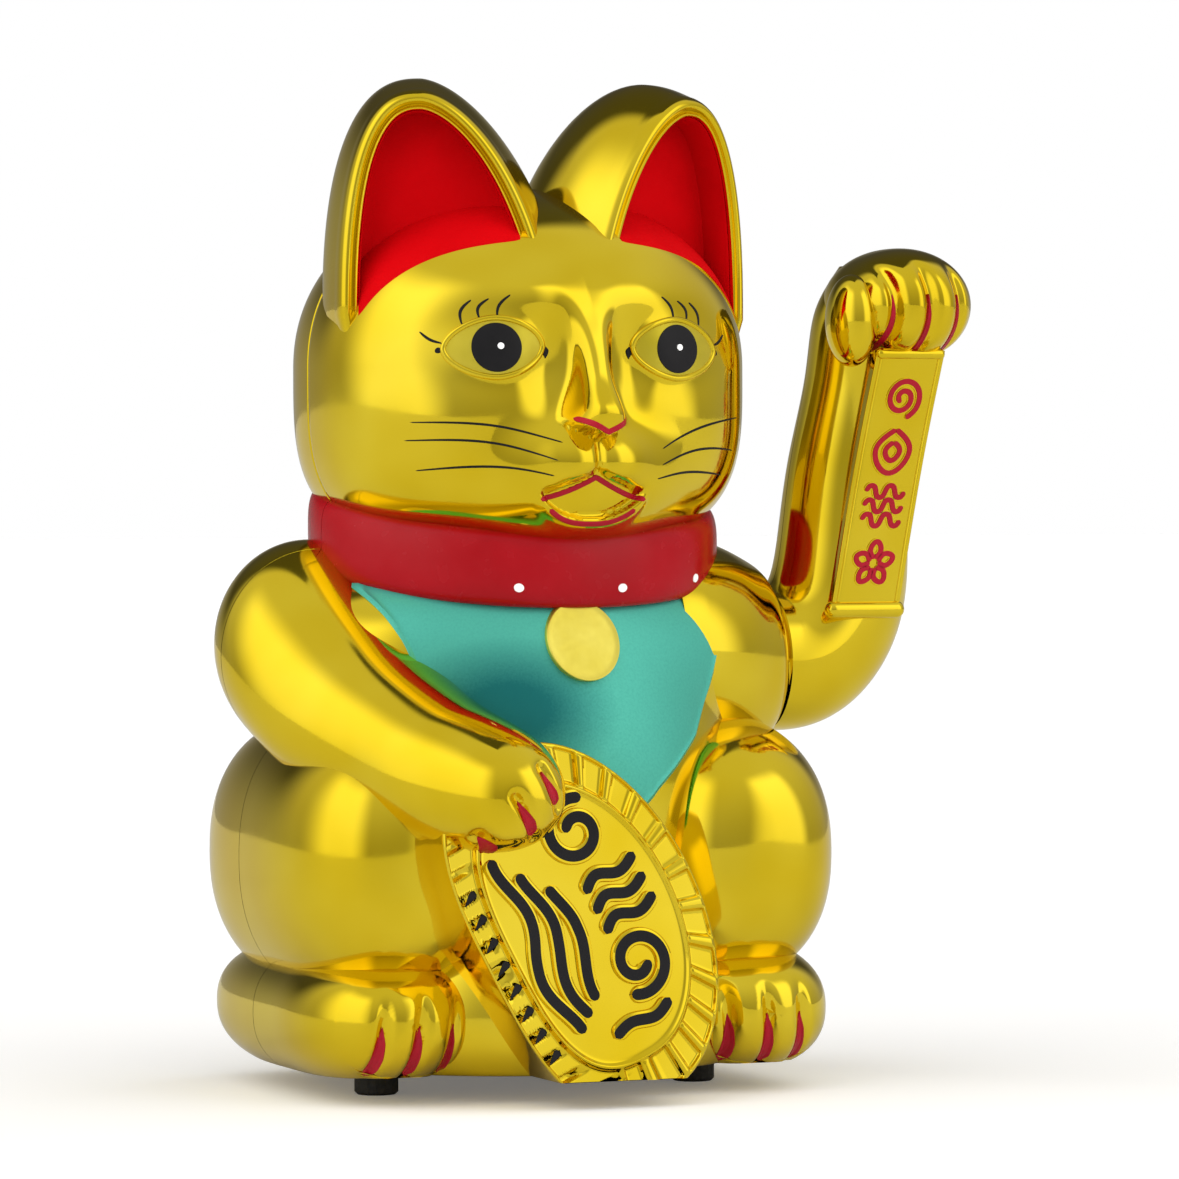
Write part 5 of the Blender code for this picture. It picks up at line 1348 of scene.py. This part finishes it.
def add_floor():
    """A plain pale floor that glows a little to the eye and looks darker in the gold."""
    corners = [(FLOOR_REACH * x, FLOOR_REACH * y, 0) for x, y in ((-1, -1), (1, -1), (1, 1), (-1, 1))]
    mesh = bpy.data.meshes.new("floor")
    mesh.from_pydata(corners, [], [(0, 1, 2, 3)])
    floor = bpy.data.objects.new("floor", mesh)
    bpy.context.scene.collection.objects.link(floor)
    material = node_material("pale_floor", (0.92, 0.92, 0.92), 0.6)
    vary(material, noise(material, 3, 2.0), "Roughness", 0.55, 0.65)
    tree = material.node_tree
    ray = add_node(tree, "LightPath")
    shade = {"Value": ray.outputs["Is Glossy Ray"], "To Min": 0.94, "To Max": 0.60}
    feed(material, "Base Color", add_node(tree, "MapRange", shade).outputs["Result"])
    glow = add_node(tree, "Math", {0: ray.outputs["Is Camera Ray"], 1: FLOOR_GLOW}, operation="MULTIPLY")
    feed(material, "Emission Strength", glow.outputs["Value"])
    tree.nodes["Principled BSDF"].inputs["Emission Color"].default_value = (1, 1, 1, 1)
    mesh.materials.append(material)


# ---------------------------------------------------------------- assembly


def body_pieces(gold):
    """Head, trunk, legs, lowered arm and the raised arm's socket, each in two halves, and the coin."""
    for name, shape in (("head", head_half), ("trunk", trunk_half)):
        for front, half in HALVES:
            piece(f"{name}_{half}", [(shape(front), False)], gold, node=f"{half}_shell")
    for name, parts in (("thigh", haunches()), ("foot", feet())):
        for number, part in enumerate(parts):
            side, half = SIDES[number // 2][1], HALVES[number % 2][1]
            piece(f"{name}_{side}_{half}", [(part, True)], gold, node=f"{half}_shell")
    for part, (_, half) in zip(lowered_arm(), HALVES):
        piece(f"lowered_arm_{half}", [(part, True)], gold, node=f"{half}_shell")
    for front, half in HALVES:
        socket = sweep_half(front, SHOULDER_PATH, [0] * len(SHOULDER_PATH), SHOULDER_SIZES, 0.0)
        piece(f"arm_socket_{half}", [socket], gold, node=f"{half}_shell")
    piece("coin", coin(), gold, node="front_shell")


def trim_pieces(materials):
    """Ears, collar, bib and medallion."""
    for side, name in SIDES:
        piece(f"ear_{name}", [(ear_solid(side), True)], materials["gold"], node="front_shell")
        piece(f"ear_lining_{name}", [ear_lining(side)], materials["ear_red"])
        piece(f"ear_floor_{name}", [ear_floor(side)], materials["ear_red"])
    for front, half in HALVES:
        piece(f"collar_{half}", [collar_half(front)], materials["collar_red"], node=f"{half}_shell")
    dots = [oval((turn * COLLAR_RADII[1], -5.0), (1.3, 1.3), around=24) for turn in DOT_TURNS]
    piece("collar_dots", [patch(collar_surface, dot, 0.25, rings=5) for dot in dots], materials["white"])
    bib = patch(depth_surface(trunk_depth), bib_outline(), 0.8, sink=1.5, bead=0.5, bead_at=0.985, rings=50)
    piece("bib", [bib], materials["teal"])
    medal = patch(medallion_surface, oval((0.0, MEDAL_Z), MEDAL_RADII, around=96), 2.3, sink=2.5, bead=0.25)
    piece("medallion", [medal], materials["pale_gold"])


def slit_pieces(red):
    """The red paint in the gaps between toes and between the lowered paw's fingers."""
    for side, name in SIDES:
        surface = depth_surface(foot_depth(side))
        lines = [[(toe_line(gap, side, z), z) for z in (9.2, 14, 19, 24)] for gap in TOE_GAPS]
        slits = [wedge(surface, line, (1.8, 1.7, 1.2, 0.2), lift=0.3) for line in lines]
        piece(f"toe_slits_{name}", slits, red)
    paw = depth_surface(paw_depth)
    piece("finger_slits", [wedge(paw, slit, (0.25, 1.0, 1.7, 1.5), lift=0.3) for slit in FINGER_SLITS], red)


def raised_arm_pieces(materials):
    """The raised arm, its paw and thumb, and the scroll with its ornaments: all of them ride on the arm."""
    gold, red = materials["gold"], materials["line_red"]
    for front, half in HALVES:
        arm = sweep_half(front, ARM_PATH, ARM_PATH_Y, ARM_SIZES, HUB_X + HUB_GAP)
        piece(f"raised_arm_{half}", [arm], gold, "arm", f"arm_{half}_shell")
    for part, (_, half) in zip(raised_paw(), HALVES):
        piece(f"raised_paw_{half}", [(part, True)], gold, "arm", f"arm_{half}_shell")
    piece("raised_thumb", [ball((99.5, -24.0, 229.0), (7.5, 10.0, 14.0))], gold, "arm")
    surface = depth_surface(paw_front)
    lines = [[(knuckle_line(knuckle, z), z) for z in (219.5, 225, 231, 237)] for knuckle in KNUCKLES]
    slits = [wedge(surface, line, (0.95, 0.8, 0.6, 0.15), lift=0.3) for line in lines]
    piece("raised_paw_slits", slits, red, "arm")
    piece("scroll", banner(), gold, "arm", "arm_front_shell")
    strokes, edge = motifs()
    piece("scroll_ornament_edge", edge, gold, "arm")
    piece("scroll_ornament", strokes, red, "arm")


def finish_inner_parts():
    """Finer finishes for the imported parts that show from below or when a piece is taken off."""
    for slot in frame["record"]["materials"]:
        colour = tuple(slot["base_color"])
        metal = slot["class"] in ("brushed_steel", "brass")
        rough = {"matte": 0.75, "satin": 0.45, "gloss": 0.3, "polished": 0.12}[slot["finish"]]
        material = node_material("inner_" + slot["slot"], colour, rough, metallic=float(metal))
        darker = tuple(0.75 * value for value in colour)
        vary(material, noise(material, 120, 3.0), "Base Color", darker, colour)
        grain = noise(material, 900, 3.0)
        vary(material, grain, "Roughness", rough * 0.85, min(1.0, rough * 1.15))
        roughen(material, grain, 0.15, 0.00005)
        for node in frame["nodes"].values():
            for number, old in enumerate(node.data.materials):
                if old.name.split(".")[0] == slot["slot"]:
                    node.data.materials[number] = material


materials = make_materials()
studio_world()
add_camera()
add_floor()
body_pieces(materials["gold"])
trim_pieces(materials)
face_pieces(materials)
slit_pieces(materials["line_red"])
raised_arm_pieces(materials)
ornament, ornament_edge = coin_paint()
piece("coin_ornament_edge", ornament_edge, materials["gold"])
piece("coin_ornament", ornament, materials["black"])
finish_inner_parts()
